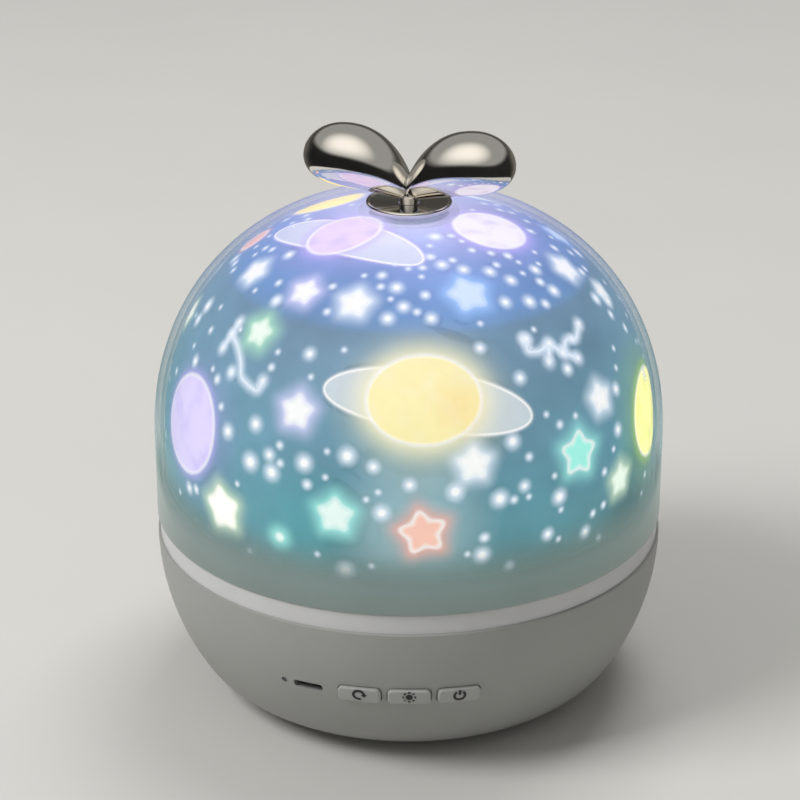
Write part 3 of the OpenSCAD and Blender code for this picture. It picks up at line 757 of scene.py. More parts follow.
def arc(
    centre: Sequence[float], radius: float, start: float, end: float, steps: int
) -> np.ndarray:
    """Points of an arc: centre plus radius times (cos a, sin a).

    Args:
        centre: its middle.
        radius: its radius.
        start: angle a of its first point, in degrees.
        end: angle a of its last point.
        steps: number of points.

    Returns:
        One point a line.
    """
    a = np.radians(np.linspace(start, end, steps))
    return np.stack([centre[0] + radius * np.cos(a), centre[1] + radius * np.sin(a)], -1)


def joined(parts: Iterable[tuple[np.ndarray, list]]) -> tuple[np.ndarray, list]:
    """Several shapes as one, with the faces renumbered.

    Args:
        parts: the points and faces of each shape.

    Returns:
        All the points and all the faces.
    """
    points: list[np.ndarray] = []
    faces: list[list[int]] = []
    start = 0
    for part_points, part_faces in parts:
        points.append(part_points)
        faces += [[start + int(v) for v in face] for face in part_faces]
        start += len(part_points)
    return np.vstack(points), faces


def placed(name: str, data: bpy.types.ID) -> bpy.types.Object:
    """Puts a new object into the scene.

    Args:
        name: its name.
        data: the mesh, lamp or camera that it shows.

    Returns:
        The new object.
    """
    made = bpy.data.objects.new(name, data)
    bpy.context.scene.collection.objects.link(made)
    return made


def write_values(mesh: bpy.types.Mesh, key: str, values: np.ndarray) -> None:
    """Writes a number, or a colour of three columns, into each vertex under a name.

    Args:
        mesh: the mesh.
        key: the name that a material reads.
        values: one line for each vertex.
    """
    if values.ndim == 2:
        layer = mesh.attributes.new(key, "FLOAT_COLOR", "POINT")
        full = np.hstack([values, np.ones((len(values), 1))])
        layer.data.foreach_set("color", full.astype(np.float32).ravel())
    else:
        layer = mesh.attributes.new(key, "FLOAT", "POINT")
        layer.data.foreach_set("value", values.astype(np.float32))


@dataclass(frozen=True)
class Piece:
    """How a finished mesh joins the model: its name, body, replaced nodes and an unused record
    slot.
    """

    name: str
    body: str
    slot: str
    replaces: tuple[str, ...] = ()

    def build(
        self,
        points: np.ndarray,
        faces: Any,
        finish: bpy.types.Material,
        crease: float = 35.0,
        marks: dict[str, np.ndarray] | None = None,
    ) -> bpy.types.Object:
        """Makes the object.

        Args:
            points: vertices in millimetres.
            faces: lists of vertex numbers.
            finish: its material.
            crease: angle in degrees above which an edge stays sharp.
            marks: values for each vertex by name; three columns make a colour.

        Returns:
            The new object, riding on its body.
        """
        mesh = bpy.data.meshes.new(self.name)
        faces = faces.tolist() if isinstance(faces, np.ndarray) else faces
        mesh.from_pydata((np.asarray(points, float) * MM).tolist(), [], faces)
        for key, values in (marks or {}).items():
            write_values(mesh, key, values)
        self._close(mesh)
        mesh.polygons.foreach_set("use_smooth", np.ones(len(mesh.polygons), bool))
        mesh.set_sharp_from_angle(angle=math.radians(crease))
        mesh.materials.append(finish)
        made = placed(self.name, mesh)
        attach(made, self.body)
        if self.replaces:
            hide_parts(*self.replaces)
        LOG.info("%s: %d faces on %s", self.name, len(mesh.polygons), self.body)
        return made

    @staticmethod
    def _close(mesh: bpy.types.Mesh) -> None:
        """Merges the points that meet at seams and poles.

        Args:
            mesh: the mesh, which is changed.
        """
        work = bmesh.new()
        work.from_mesh(mesh)
        bmesh.ops.remove_doubles(work, verts=work.verts, dist=1e-6)
        work.to_mesh(mesh)
        work.free()


def solid_shape(node: bpy.types.Object) -> tuple[np.ndarray, np.ndarray]:
    """Reads a CAD node's triangles.

    Args:
        node: the CAD object.

    Returns:
        Its points in millimetres and its faces.
    """
    mesh = node.data
    points = np.zeros(len(mesh.vertices) * 3)
    mesh.vertices.foreach_get("co", points)
    mesh.calc_loop_triangles()
    faces = np.zeros(len(mesh.loop_triangles) * 3, int)
    mesh.loop_triangles.foreach_get("vertices", faces)
    return points.reshape(-1, 3) / MM, faces.reshape(-1, 3)


# ---------------------------------------------------------------- forms


@dataclass(frozen=True)
class Skin:
    """The shade's outline, a straight wall and two tangent arcs, and layers inside it."""

    wall_r: float = 65.0
    low_z: float = 47.2
    spring_z: float = 69.3
    shoulder_r: float = 55.0
    shoulder_a: float = 23.0
    crown_a: float = 79.4
    fine_steps: int = 2000

    @property
    def shoulder_c(self) -> tuple[float, float]:
        """Centre of the shoulder's arc."""
        reach, a = self.wall_r - self.shoulder_r, math.radians(self.shoulder_a)
        return reach * math.cos(a), self.spring_z + reach * math.sin(a)

    @property
    def crown_r(self) -> float:
        """Radius of the crown's arc."""
        return self.shoulder_r + self.shoulder_c[0] / math.cos(math.radians(self.crown_a))

    @property
    def crown_c(self) -> tuple[float, float]:
        """Centre of the crown's arc."""
        drop = (self.crown_r - self.shoulder_r) * math.sin(math.radians(self.crown_a))
        return 0.0, self.shoulder_c[1] - drop

    def line(self, off: float, start: float = 0.0, end: float = 90.0) -> np.ndarray:
        """Points of the outline moved in by off, from one face angle to another.

        Args:
            off: how far the layer lies inside the outer face.
            start: angle that the face looks above level where the line starts, in degrees.
            end: the same where it ends.

        Returns:
            (r, z) points going up.
        """
        # centre, radius, first and last face angle, and points of each arc
        spans = (
            ((0.0, self.spring_z), self.wall_r, 0.0, self.shoulder_a, 14),
            (self.shoulder_c, self.shoulder_r, self.shoulder_a, self.crown_a, 44),
            (self.crown_c, self.crown_r, self.crown_a, 90.0, 16),
        )
        parts = [
            arc(c, r - off, max(start, a), min(end, b), n)
            for c, r, a, b, n in spans
            if min(end, b) - max(start, a) > 1e-6
        ]
        parts = [parts[0]] + [p[1:] for p in parts[1:]]
        return np.vstack(parts)

    def angle_at(self, r: float, off: float) -> float:
        """Face angle at which a layer of the crown reaches radius r, in degrees."""
        return math.degrees(math.acos(r / (self.crown_r - off)))

    def project(self, points: np.ndarray, off: float) -> np.ndarray:
        """Moves points onto a layer, along rays from the axis at the wall's top.

        A point at angle p above level from there goes to the distance R(p) at which the
        layer's outline lies in that direction.

        Args:
            points: points near the layer.
            off: the layer's offset.

        Returns:
            The points on the layer.
        """
        outline = np.vstack([[self.wall_r - off, self.low_z], self.line(off)])
        rise = outline[:, 1] - self.spring_z
        angles = np.arctan2(rise, outline[:, 0])
        reach = np.hypot(outline[:, 0], rise)
        fine_angles = np.linspace(angles[0], angles[-1], self.fine_steps)
        fine_reach = np.interp(fine_angles, angles, reach)
        side = fine_angles < 0
        fine_reach[side] = (self.wall_r - off) / np.cos(fine_angles[side])
        centre = np.array([0.0, 0.0, self.spring_z])
        ray = points - centre
        flat = np.hypot(ray[:, 0], ray[:, 1])
        scale = np.interp(np.arctan2(ray[:, 2], flat), fine_angles, fine_reach)
        return centre + ray / np.linalg.norm(ray, axis=1)[:, None] * scale[:, None]


@dataclass(frozen=True)
class Bowl:
    """The base's outline: a side arc level with the rim and a corner arc under it."""

    rim_r: float = 65.0
    rim_z: float = 42.0
    side_r: float = 61.0
    corner_r: float = 18.0
    foot_h: float = 1.2

    def radius(self, z: np.ndarray, out: float = 0.0) -> np.ndarray:
        """Radius of the outer face.

        On both arcs it is the centre's radius plus sqrt(R^2 - (zc - z)^2), for the arc's
        radius R and its centre's height zc.

        Args:
            z: heights.
            out: how far the face is moved outwards.

        Returns:
            The radius at each height.
        """
        side_c = self.rim_r - self.side_r
        arm = self.side_r - self.corner_r
        turn = math.asin((self.rim_z - self.foot_h - self.corner_r) / arm)
        side = side_c + np.sqrt(np.maximum((self.side_r + out) ** 2 - (self.rim_z - z) ** 2, 0))
        low_c = (side_c + arm * math.cos(turn), self.rim_z - arm * math.sin(turn))
        low = low_c[0] + np.sqrt(np.maximum((self.corner_r + out) ** 2 - (low_c[1] - z) ** 2, 0))
        return np.where(z >= self.rim_z - self.side_r * math.sin(turn), side, low)

    def wrap(self, flat: np.ndarray, azimuth: float, z: float, out: float) -> np.ndarray:
        """Lays a flat drawing on the side: (u, v, w) goes u along the wall, v up and w outwards.

        Args:
            flat: (u, v, w) points in millimetres.
            azimuth: angle of the drawing's middle from the front, in degrees.
            z: height of its middle.
            out: how far the drawing's zero lies outside the wall.

        Returns:
            The points in the row frame.
        """
        height = z + flat[:, 1]
        r = self.radius(height, out) + flat[:, 2]
        a = math.radians(azimuth) + flat[:, 0] / self.radius(np.array([z]), out)[0]
        return np.stack([r * np.sin(a), -r * np.cos(a), height], -1)


# ---------------------------------------------------------------- printed sky


class Figure(Enum):
    """The kinds of figure on the films; a glow haze is painted glow, not print."""

    DOT = "dot"
    STAR = "star"
    OUTLINED_STAR = "outlined_star"
    PLANET = "planet"
    RING = "ring"
    BLOT = "blot"
    # a soft patch of painted glow round the figures, with no print of its own
    GLOW_HAZE = "haze"


WHITE = behind_shade(253, 254, 255)
CREAM = behind_shade(255, 244, 188)
LEMON = behind_shade(298, 292, 196)
GOLD = behind_shade(288, 262, 150)
LILAC = behind_shade(232, 222, 262)
ROSE = behind_shade(234, 216, 252)
PEARL = behind_shade(246, 244, 260)
SKY = behind_shade(212, 232, 260)
MINT = behind_shade(236, 253, 250)
AQUA = behind_shade(176, 250, 238)
CORAL = behind_shade(254, 206, 192)
LEAF = behind_shade(244, 258, 246)
ICE = behind_shade(240, 247, 255)
IVORY = behind_shade(268, 268, 260)
# From here on, colours of painted glow: the halos round the figures and the glow hazes. Planets
# also cloud their insides with their halo's colour.
WHITE_AURA = behind_shade(226, 238, 252)
GOLD_AURA = behind_shade(248, 242, 208)
MOSS = behind_shade(84, 108, 96)
VIOLET_AURA = behind_shade(194, 184, 248)
LILAC_AURA = behind_shade(214, 216, 252)
ORANGE = behind_shade(250, 206, 140)
GREEN_AURA = behind_shade(206, 228, 208)
LEAF_AURA = behind_shade(182, 232, 206)
LIME_AURA = behind_shade(180, 212, 126)
TEAL_AURA = behind_shade(170, 236, 232)
BLUE_AURA = behind_shade(164, 202, 252)
DEEP_TEAL = behind_shade(88, 186, 192)
PALE = behind_shade(222, 236, 236)
RED_AURA = behind_shade(248, 186, 176)
GREY_AURA = behind_shade(176, 186, 200)

# Radius of the notches of the stars as a share of their points', and how deep a star counts
# as a share of its radius
NOTCHES = {Figure.STAR: 0.66, Figure.OUTLINED_STAR: 0.58}
STAR_DEPTH = 0.7


@dataclass(frozen=True)
class Print:
    """One printed figure: its kind, place on the film, half width, colours and turn.

    squash is its height as a share of its width, halo the width of the painted glow round it
    and lift how far it stands off the film. A glow haze is only a soft patch of painted glow.
    """

    figure: Figure
    azimuth: float
    z: float
    size: float
    tint: Colour = WHITE
    aura: Colour = WHITE_AURA
    squash: float = 1.0
    tilt: float = 0.0
    halo: float = 1.6
    lift: float = 0.08


@dataclass(frozen=True)
class Patch:
    """A figure's or a line's mesh on the film, with each point's inset and fade, and colours."""

    points: np.ndarray
    faces: np.ndarray
    inset: np.ndarray
    fade: np.ndarray
    tint: Colour
    aura: Colour


def star_outline(angle: np.ndarray, notch: float) -> np.ndarray:
    """Radius of a five-pointed star with rounded points.

    Between a point at 0 and a notch at 36 degrees the side is straight, which gives
    notch * sin 36 / (sin a + notch * sin(36 - a)); the outline is then averaged over ten
    degrees to each side, which rounds the points.

    Args:
        angle: angles in radians, evenly spaced once round.
        notch: the notches' radius as a share of the points'.

    Returns:
        The radius at each angle, 1 at an unrounded point.
    """
    half = np.pi / 5
    total = np.zeros_like(angle)
    shifts = np.radians(np.linspace(-10, 10, 9))
    for shift in shifts:
        a = np.abs((angle + shift + half) % (2 * half) - half)
        total += notch * np.sin(half) / (np.sin(a) + notch * np.sin(half - a))
    return total / len(shifts)


@dataclass
class StarFilms:
    """The two printed films on the clear dome, with their planets, stars, dots and painted glow.
    """

    skin: Skin = field(default_factory=Skin)
    outer: float = 2.6
    inner: float = 3.0
    low_z: float = 53.0
    seam_a: float = 46.0
    seam_gap: float = 0.02
    seam_z: float = 111.0
    hole_r: float = 10.0
    sides: int = 240
    chart_line: float = 0.1
    chart_halo: float = 2.2
    chart_step: float = 0.5
    chart_rounding: int = 5
    chart_lift: float = 0.06
    seed: int = 11
    # number of small dots and the heights that they lie between, for each film
    dot_belts: tuple[tuple[int, float, float], ...] = ((170, 56.5, 109.5), (110, 112.3, 125.5))
    dot_cores: tuple[float, ...] = (0.2, 0.35, 0.5, 0.8)
    core_odds: tuple[float, ...] = (0.4, 0.3, 0.2, 0.1)
    dot_gap: float = 0.9
    dot_room: float = 1.4
    figure_room: float = 1.2
    # in the order of Print's own fields
    prints: tuple[Print, ...] = (
        Print(Figure.RING, 5.0, 98.6, 26.8, WHITE, GREY_AURA, 0.27, -10.0, 1.6, 0.05),
        Print(Figure.PLANET, 3.6, 98.8, 13.8, CREAM, GOLD_AURA, 0.78, 0.0, 8.0, 0.12),
        Print(Figure.PLANET, -62.0, 81.2, 12.4, LILAC, VIOLET_AURA, 1.0, 0.0, 3.6),
        Print(Figure.PLANET, 76.6, 78.4, 13.4, LEMON, LIME_AURA, 0.82, 0.0, 4.4),
        Print(Figure.RING, 133.0, 90.0, 24.0, WHITE, GREY_AURA, 0.28, 14.0, 1.6, 0.05),
        Print(Figure.PLANET, 133.0, 90.0, 12.6, ROSE, VIOLET_AURA, 0.9, 0.0, 3.6, 0.12),
        Print(Figure.PLANET, -128.0, 84.0, 11.0, MINT, TEAL_AURA, 1.0, 0.0, 3.6),
        Print(Figure.PLANET, 177.0, 72.0, 8.5, CREAM, GOLD_AURA, 1.0, 0.0, 3.6),
        Print(Figure.STAR, -16.3, 71.4, 5.0, MINT, TEAL_AURA, halo=5.0),
        Print(Figure.STAR, -46.3, 65.1, 6.4, IVORY, GREEN_AURA, tilt=12.0, halo=5.0),
        Print(Figure.STAR, 14.4, 84.1, 4.4, WHITE, halo=4.4),
        Print(Figure.STAR, -27.5, 94.2, 4.6, WHITE, LILAC_AURA, halo=5.0),
        Print(Figure.STAR, 51.8, 91.2, 3.8, WHITE, halo=4.4),
        Print(Figure.STAR, 55.6, 69.4, 4.2, LEAF, GREEN_AURA, halo=4.8),
        Print(Figure.STAR, -46.8, 107.3, 3.9, LEAF, LEAF_AURA, halo=5.6),
        Print(Figure.STAR, 102.0, 66.0, 4.8, MINT, TEAL_AURA, halo=4.0),
        Print(Figure.STAR, -96.0, 70.0, 4.8, ICE, halo=4.0),
        Print(Figure.STAR, -90.0, 99.0, 4.0, IVORY, GREEN_AURA, halo=3.6),
        Print(Figure.STAR, 104.0, 97.0, 4.0, ICE, VIOLET_AURA, halo=3.6),
        Print(Figure.STAR, 157.0, 66.0, 4.8, ICE, VIOLET_AURA, halo=4.0),
        Print(Figure.STAR, -157.0, 67.0, 4.4, WHITE, halo=3.4),
        Print(Figure.OUTLINED_STAR, 41.4, 81.1, 6.0, AQUA, TEAL_AURA, tilt=-8.0, halo=6.0),
        Print(Figure.OUTLINED_STAR, 2.9, 68.0, 6.2, CORAL, RED_AURA, tilt=10.0, halo=6.0),
        Print(Figure.OUTLINED_STAR, -104.0, 88.0, 5.6, CORAL, RED_AURA, tilt=-14.0, halo=4.2),
        Print(Figure.OUTLINED_STAR, 168.0, 96.0, 6.0, SKY, BLUE_AURA, tilt=9.0, halo=4.2),
        Print(Figure.OUTLINED_STAR, -152.0, 99.0, 5.4, AQUA, TEAL_AURA, tilt=20.0, halo=4.2),
        Print(Figure.BLOT, -29.7, 62.9, 1.2, MINT, TEAL_AURA, halo=4.0),
        Print(Figure.RING, -49.5, 124.3, 24.0, WHITE, VIOLET_AURA, 0.29, 12.0, 1.8, 0.05),
        Print(Figure.PLANET, -53.1, 124.5, 8.0, ROSE, VIOLET_AURA, 1.25, 0.0, 4.6, 0.12),
        Print(Figure.PLANET, 69.0, 124.2, 9.6, PEARL, VIOLET_AURA, 0.95, 0.0, 4.6),
        Print(Figure.PLANET, -130.0, 122.6, 9.4, GOLD, GOLD_AURA, 0.95, 0.0, 2.4),
        Print(Figure.PLANET, 150.0, 121.0, 9.5, MINT, TEAL_AURA, 0.95, 0.0, 3.0),
        Print(Figure.PLANET, -100.0, 116.0, 4.2, CORAL, RED_AURA, 1.0, 0.0, 2.4),
        Print(Figure.STAR, 21.9, 117.4, 5.5, SKY, BLUE_AURA, tilt=6.0, halo=4.2),
        Print(Figure.STAR, -19.1, 116.1, 4.2, WHITE, halo=4.4),
        Print(Figure.STAR, -69.2, 115.4, 3.8, WHITE, halo=4.0),
        Print(Figure.STAR, -39.6, 116.2, 3.9, WHITE, LILAC_AURA, halo=4.6),
        Print(Figure.STAR, 72.6, 115.5, 4.0, WHITE, halo=4.0),
        Print(Figure.STAR, 80.0, 108.0, 2.8, WHITE, halo=3.4),
        Print(Figure.STAR, 102.0, 117.0, 4.2, SKY, BLUE_AURA, halo=3.4),
        Print(Figure.STAR, 178.0, 115.5, 4.0, WHITE, halo=3.4),
        Print(Figure.STAR, -150.0, 117.0, 4.0, ICE, VIOLET_AURA, halo=3.4),
        # Glow hazes: soft patches of painted glow, the light that the frosted shade spreads round
        # the figures beside them
        Print(Figure.GLOW_HAZE, 4.0, 97.5, 12.0, GOLD_AURA, GOLD_AURA, 0.8, 0.0, 14.0, 0.02),
        Print(Figure.GLOW_HAZE, 12.0, 97.0, 1.5, ORANGE, ORANGE, 1.3, 0.0, 7.0, 0.16),
        Print(Figure.GLOW_HAZE, -24.0, 68.0, 3.0, DEEP_TEAL, DEEP_TEAL, 1.0, 0.0, 17.0, 0.024),
        Print(Figure.GLOW_HAZE, -60.0, 81.0, 10.0, VIOLET_AURA, VIOLET_AURA, 1.0, 0.0, 12.0, 0.028),
        Print(Figure.GLOW_HAZE, 74.0, 79.0, 10.0, LIME_AURA, LIME_AURA, 1.0, 0.0, 13.0, 0.02),
        Print(Figure.GLOW_HAZE, 62.0, 61.5, 6.0, MOSS, MOSS, 0.6, 0.0, 12.0, 0.028),
        Print(Figure.GLOW_HAZE, 1.0, 69.5, 8.0, PALE, PALE, 1.0, 0.0, 15.0, 0.032),
        Print(Figure.GLOW_HAZE, -53.0, 124.0, 6.0, VIOLET_AURA, VIOLET_AURA, 1.0, 0.0, 13.0, 0.02),
        Print(Figure.GLOW_HAZE, 68.0, 124.0, 6.0, VIOLET_AURA, VIOLET_AURA, 1.0, 0.0, 11.0, 0.024),
        Print(Figure.GLOW_HAZE, 22.0, 117.4, 4.0, BLUE_AURA, BLUE_AURA, 1.0, 0.0, 10.0, 0.028),
    )
    # azimuth, height and core of each
    bright_dots: tuple[tuple[float, float, float], ...] = (
        (16, 122, 0.6), (25, 121, 0.6), (-63, 120, 0.6), (36, 120, 0.6), (-5, 119, 0.7),
        (57, 118, 0.6), (42, 118, 0.6), (-2, 116, 0.6), (34, 115, 0.6), (7, 114, 0.6),
        (56, 114, 0.7), (-7, 114, 0.7), (43, 114, 0.7), (20, 108, 0.5), (34, 108, 0.7),
        (-28, 106, 0.6), (79, 106, 0.9), (-78, 105, 1.0), (29, 101, 0.6), (44, 100, 0.6),
        (-67, 95, 0.6), (59, 91, 0.6), (-38, 89, 0.8), (24, 88, 0.8), (79, 87, 0.9),
        (-14, 86, 1.0), (-46, 85, 0.8), (-8, 84, 0.6), (-33, 83, 0.6), (-24, 83, 1.0),
        (56, 82, 0.6), (-38, 80, 1.1), (0, 80, 0.6), (-32, 79, 1.0), (10, 78, 1.0),
        (26, 77, 0.5), (20, 75, 1.0), (-6, 73, 0.9), (35, 72, 0.9), (-60, 65, 0.6),
        (32, 63, 0.6), (16, 61, 0.9), (43, 60, 0.6), (-14, 57, 1.1),
    )
    # azimuth and height along each line
    charts: tuple[tuple[tuple[float, float], ...], ...] = (
        ((-56.5, 107.3), (-56.7, 104.6), (-57.3, 101.2)),
        ((-56.7, 104.6), (-52.0, 103.1), (-48.3, 100.5), (-46.4, 97.6), (-42.9, 96.5),
         (-39.6, 95.9), (-39.1, 98.5)),
        ((34.9, 108.0), (33.4, 105.6), (37.5, 105.0), (41.5, 106.0), (44.7, 103.3),
         (48.0, 105.6), (51.5, 104.6), (56.0, 107.0)),
        ((41.5, 106.0), (39.0, 102.6)),
        ((44.7, 103.3), (49.0, 101.2)),
    )

    def build(
        self,
        side: bpy.types.Material,
        top: bpy.types.Material,
        kinds: dict[Figure, bpy.types.Material],
    ) -> None:
        """Makes both films and everything printed on them.

        Args:
            side: the side film's finish.
            top: the top film's finish.
            kinds: the finish of each kind of figure.
        """
        self._film("side_film", self._section(0.0, self.seam_a), side)
        end = self.skin.angle_at(self.hole_r, self.outer)
        self._film("top_film", self._section(self.seam_a + self.seam_gap, end), top)
        prints = (*self.prints, *self._dots(), *self._chart_ends())
        for film, on_top in (("side_film", False), ("top_film", True)):
            for kind, finish in kinds.items():
                chosen = [p for p in prints if p.figure is kind and (p.z > self.seam_z) == on_top]
                if chosen:
                    patches = [self._patch(p) for p in chosen]
                    self._figures(f"{film}_{kind.value}s", film, patches, finish)
        lines = [self._ribbon(path) for path in self.charts]
        self._figures("side_film_star_charts", "side_film", lines, kinds[Figure.DOT])

    def _layer(self, off: float, start: float = 0.0, end: float = 90.0) -> np.ndarray:
        """A layer's outline between two face angles; from 0 it has the straight wall under it."""
        line = self.skin.line(off, start, end)
        return line if start else np.vstack([[self.skin.wall_r - off, self.low_z], line])

    def _section(self, start: float, end: float) -> np.ndarray:
        """Section of a film: up its outer face and down its inner one."""
        outside, inside = (self._layer(off, start, end) for off in (self.outer, self.inner))
        return np.vstack([outside, inside[::-1]])

    def _film(self, node: str, section: np.ndarray, finish: bpy.types.Material) -> None:
        """Revolves a film's section into the piece that stands for its node."""
        points, faces = revolve(section, self.sides)
        Piece(f"{node}_print", "film_dome", node, (node,)).build(points, faces, finish)

    def _spot(self, azimuth: Any, z: Any) -> np.ndarray:
        """Points of the film's outer face.

        Args:
            azimuth: angle or angles from the front, in degrees.
            z: height or heights.

        Returns:
            The point, or one point a line.
        """
        outline = self._layer(self.outer)
        r, a = np.interp(z, outline[:, 1], outline[:, 0]), np.radians(azimuth)
        return np.stack([r * np.sin(a), -r * np.cos(a), z + 0.0 * a], -1)

    def _patch(self, item: Print) -> Patch:
        """A figure as rings round its middle.

        A ring at share s up to 1 is the outline shrunk by s, and its points lie (1 - s)
        times the figure's depth inside the outline. Up to 2 it is the outline moved out by
        (s - 1) times the halo's width.

        Args:
            item: the figure.

        Returns:
            Its mesh, which has more rings and sides the larger it is.
        """
        # eight sides for each millimetre of half width and of what a halo has beyond four
        sides = int(np.clip((item.size + max(item.halo - 4.0, 0.0)) * 8, 16, 140))
        inner, outer = int(np.clip(item.size / 1.2, 2, 22)), int(np.clip(item.halo * 1.5, 2, 18))
        rim, away, depth = self._rim(item, around(sides))
        share = np.concatenate([np.linspace(0, 1, inner + 1), np.linspace(1, 2, outer + 1)[1:]])
        within, beyond = np.minimum(share, 1)[:, None], np.maximum(share - 1, 0)[:, None]
        flat = rim * within[..., None] + away * beyond[..., None] * item.halo
        inset = (1 - within) * depth - beyond * item.halo
        fade = np.repeat(1 - beyond[:, 0], sides)
        faces = grid_faces(len(share), sides, ring=True)[:, ::-1]
        return Patch(self._laid(item, flat), faces, inset.ravel(), fade, item.tint, item.aura)

    @staticmethod
    def _rim(item: Print, t: np.ndarray) -> tuple[np.ndarray, np.ndarray, np.ndarray]:
        """A figure's outline on a flat sheet.

        An ellipse is (a cos t, b sin t). Its normal runs along (b cos t, a sin t), and it is
        1 / hypot(cos t / a, sin t / b) deep. A star is star_outline times (cos t, sin t)
        and spreads away from its middle.

        Args:
            item: the figure.
            t: angles in radians, evenly spaced once round.

        Returns:
            The outline's points, the ways outwards and the depths, one for each angle.
        """
        a, b = item.size, item.size * item.squash
        way = np.stack([np.cos(t), np.sin(t)], -1)
        if item.figure in NOTCHES:
            radius = a * star_outline(t, NOTCHES[item.figure])
            return way * radius[:, None], way, radius * STAR_DEPTH
        away = way * (b, a)
        away /= np.linalg.norm(away, axis=1)[:, None]
        return way * (a, b), away, 1 / np.hypot(way[:, 0] / a, way[:, 1] / b)

    def _laid(self, item: Print, flat: np.ndarray) -> np.ndarray:
        """Lays a flat drawing on the film.

        It is turned, put on the plane that touches the film at the figure's place, with u
        level and v up the slope, and projected onto the film. A star's first point is up.

        Args:
            item: the figure.
            flat: its (u, v) points.

        Returns:
            The points on the film, one a line.
        """
        tilt = math.radians(item.tilt) + (np.pi / 2 if item.figure in NOTCHES else 0.0)
        u = flat[..., 0] * math.cos(tilt) - flat[..., 1] * math.sin(tilt)
        v = flat[..., 0] * math.sin(tilt) + flat[..., 1] * math.cos(tilt)
        middle, lower = self._spot(item.azimuth, item.z), self._spot(item.azimuth, item.z - 0.5)
        up = (middle - lower) / np.linalg.norm(middle - lower)
        turn = math.radians(item.azimuth)
        level = np.array([math.cos(turn), math.sin(turn), 0.0])
        spread = middle + u.reshape(-1, 1) * level + v.reshape(-1, 1) * up
        return self.skin.project(spread, self.outer - item.lift)

    def _ribbon(self, path: Sequence[tuple[float, float]]) -> Patch:
        """A soft line through (azimuth, z) points, as a strip with a halo on both sides.

        Args:
            path: the points that it links; its corners are rounded by a running average.

        Returns:
            Its mesh.
        """
        width, halo, rounding = self.chart_line, self.chart_halo, self.chart_rounding
        knots = self._spot(*np.array(path, float).T)
        length = np.concatenate([[0], np.cumsum(np.linalg.norm(np.diff(knots, axis=0), axis=1))])
        at = np.linspace(0, length[-1], int(length[-1] / self.chart_step) + 2)
        line = np.stack([np.interp(at, length, knots[:, k]) for k in range(3)], -1)
        padded = np.pad(line, ((rounding // 2, rounding // 2), (0, 0)), "edge")
        line = np.lib.stride_tricks.sliding_window_view(padded, rounding, 0).mean(-1)
        across = np.cross(line - (0, 0, self.skin.spring_z), np.gradient(line, axis=0))
        across /= np.linalg.norm(across, axis=1)[:, None]
        off = np.array([-width - halo, -width, 0, width, width + halo])
        spread = (line[:, None] + across[:, None] * off[:, None]).reshape(-1, 3)
        points = self.skin.project(spread, self.outer - self.chart_lift)
        inset = np.tile(width - np.abs(off), len(line))
        fade = np.tile(1 - np.maximum(np.abs(off) - width, 0) / halo, len(line))
        return Patch(points, grid_faces(len(line), len(off)), inset, fade, ICE, WHITE_AURA)

    def _figures(
        self, name: str, slot: str, patches: Sequence[Patch], finish: bpy.types.Material
    ) -> None:
        """Makes one piece of several figures on a film.

        Args:
            name: the piece's name.
            slot: the film's material slot.
            patches: the figures' meshes.
            finish: the figures' finish.
        """
        points, faces = joined((p.points, p.faces) for p in patches)
        marks = {
            "inset": np.concatenate([p.inset for p in patches]),
            "fade": np.concatenate([p.fade for p in patches]),
            "tint": np.vstack([np.tile(p.tint, (len(p.inset), 1)) for p in patches]),
            "aura": np.vstack([np.tile(p.aura, (len(p.inset), 1)) for p in patches]),
        }
        Piece(name, "film_dome", slot).build(points, faces, finish, crease=60.0, marks=marks)

    def _chart_ends(self) -> list[Print]:
        """A bright spot where each line of the charts begins and ends."""
        ends = sorted({path[k] for path in self.charts for k in (0, -1)})
        return [Print(Figure.BLOT, a, z, 0.5, WHITE, halo=2.4, lift=0.1) for a, z in ends]

    def _dots(self) -> list[Print]:
        """The bright dots, and small ones scattered clear of the figures and of each other.

        Returns:
            The dots of both films.
        """
        rng = np.random.default_rng(self.seed)
        found = [Print(Figure.DOT, a, z, core, halo=1.5 + core) for a, z, core in self.bright_dots]
        taken = [(self._spot(p.azimuth, p.z), p.size * 0.5 * (1 + p.squash) + self.figure_room)
                 for p in (*self.prints, *found)]
        for wanted, low, high in self.dot_belts:
            count = 0
            while count < wanted:
                azimuth, z = rng.uniform(-180, 180), rng.uniform(low, high)
                core = float(rng.choice(self.dot_cores, p=self.core_odds))
                middle = self._spot(azimuth, z)
                if any(np.linalg.norm(middle - m) < r + core + self.dot_gap for m, r in taken):
                    continue
                taken.append((middle, core + self.dot_room))
                found.append(Print(Figure.DOT, azimuth, z, core, ICE, halo=0.9 + 1.4 * core))
                count += 1
        return found


# ---------------------------------------------------------------- shade and handle


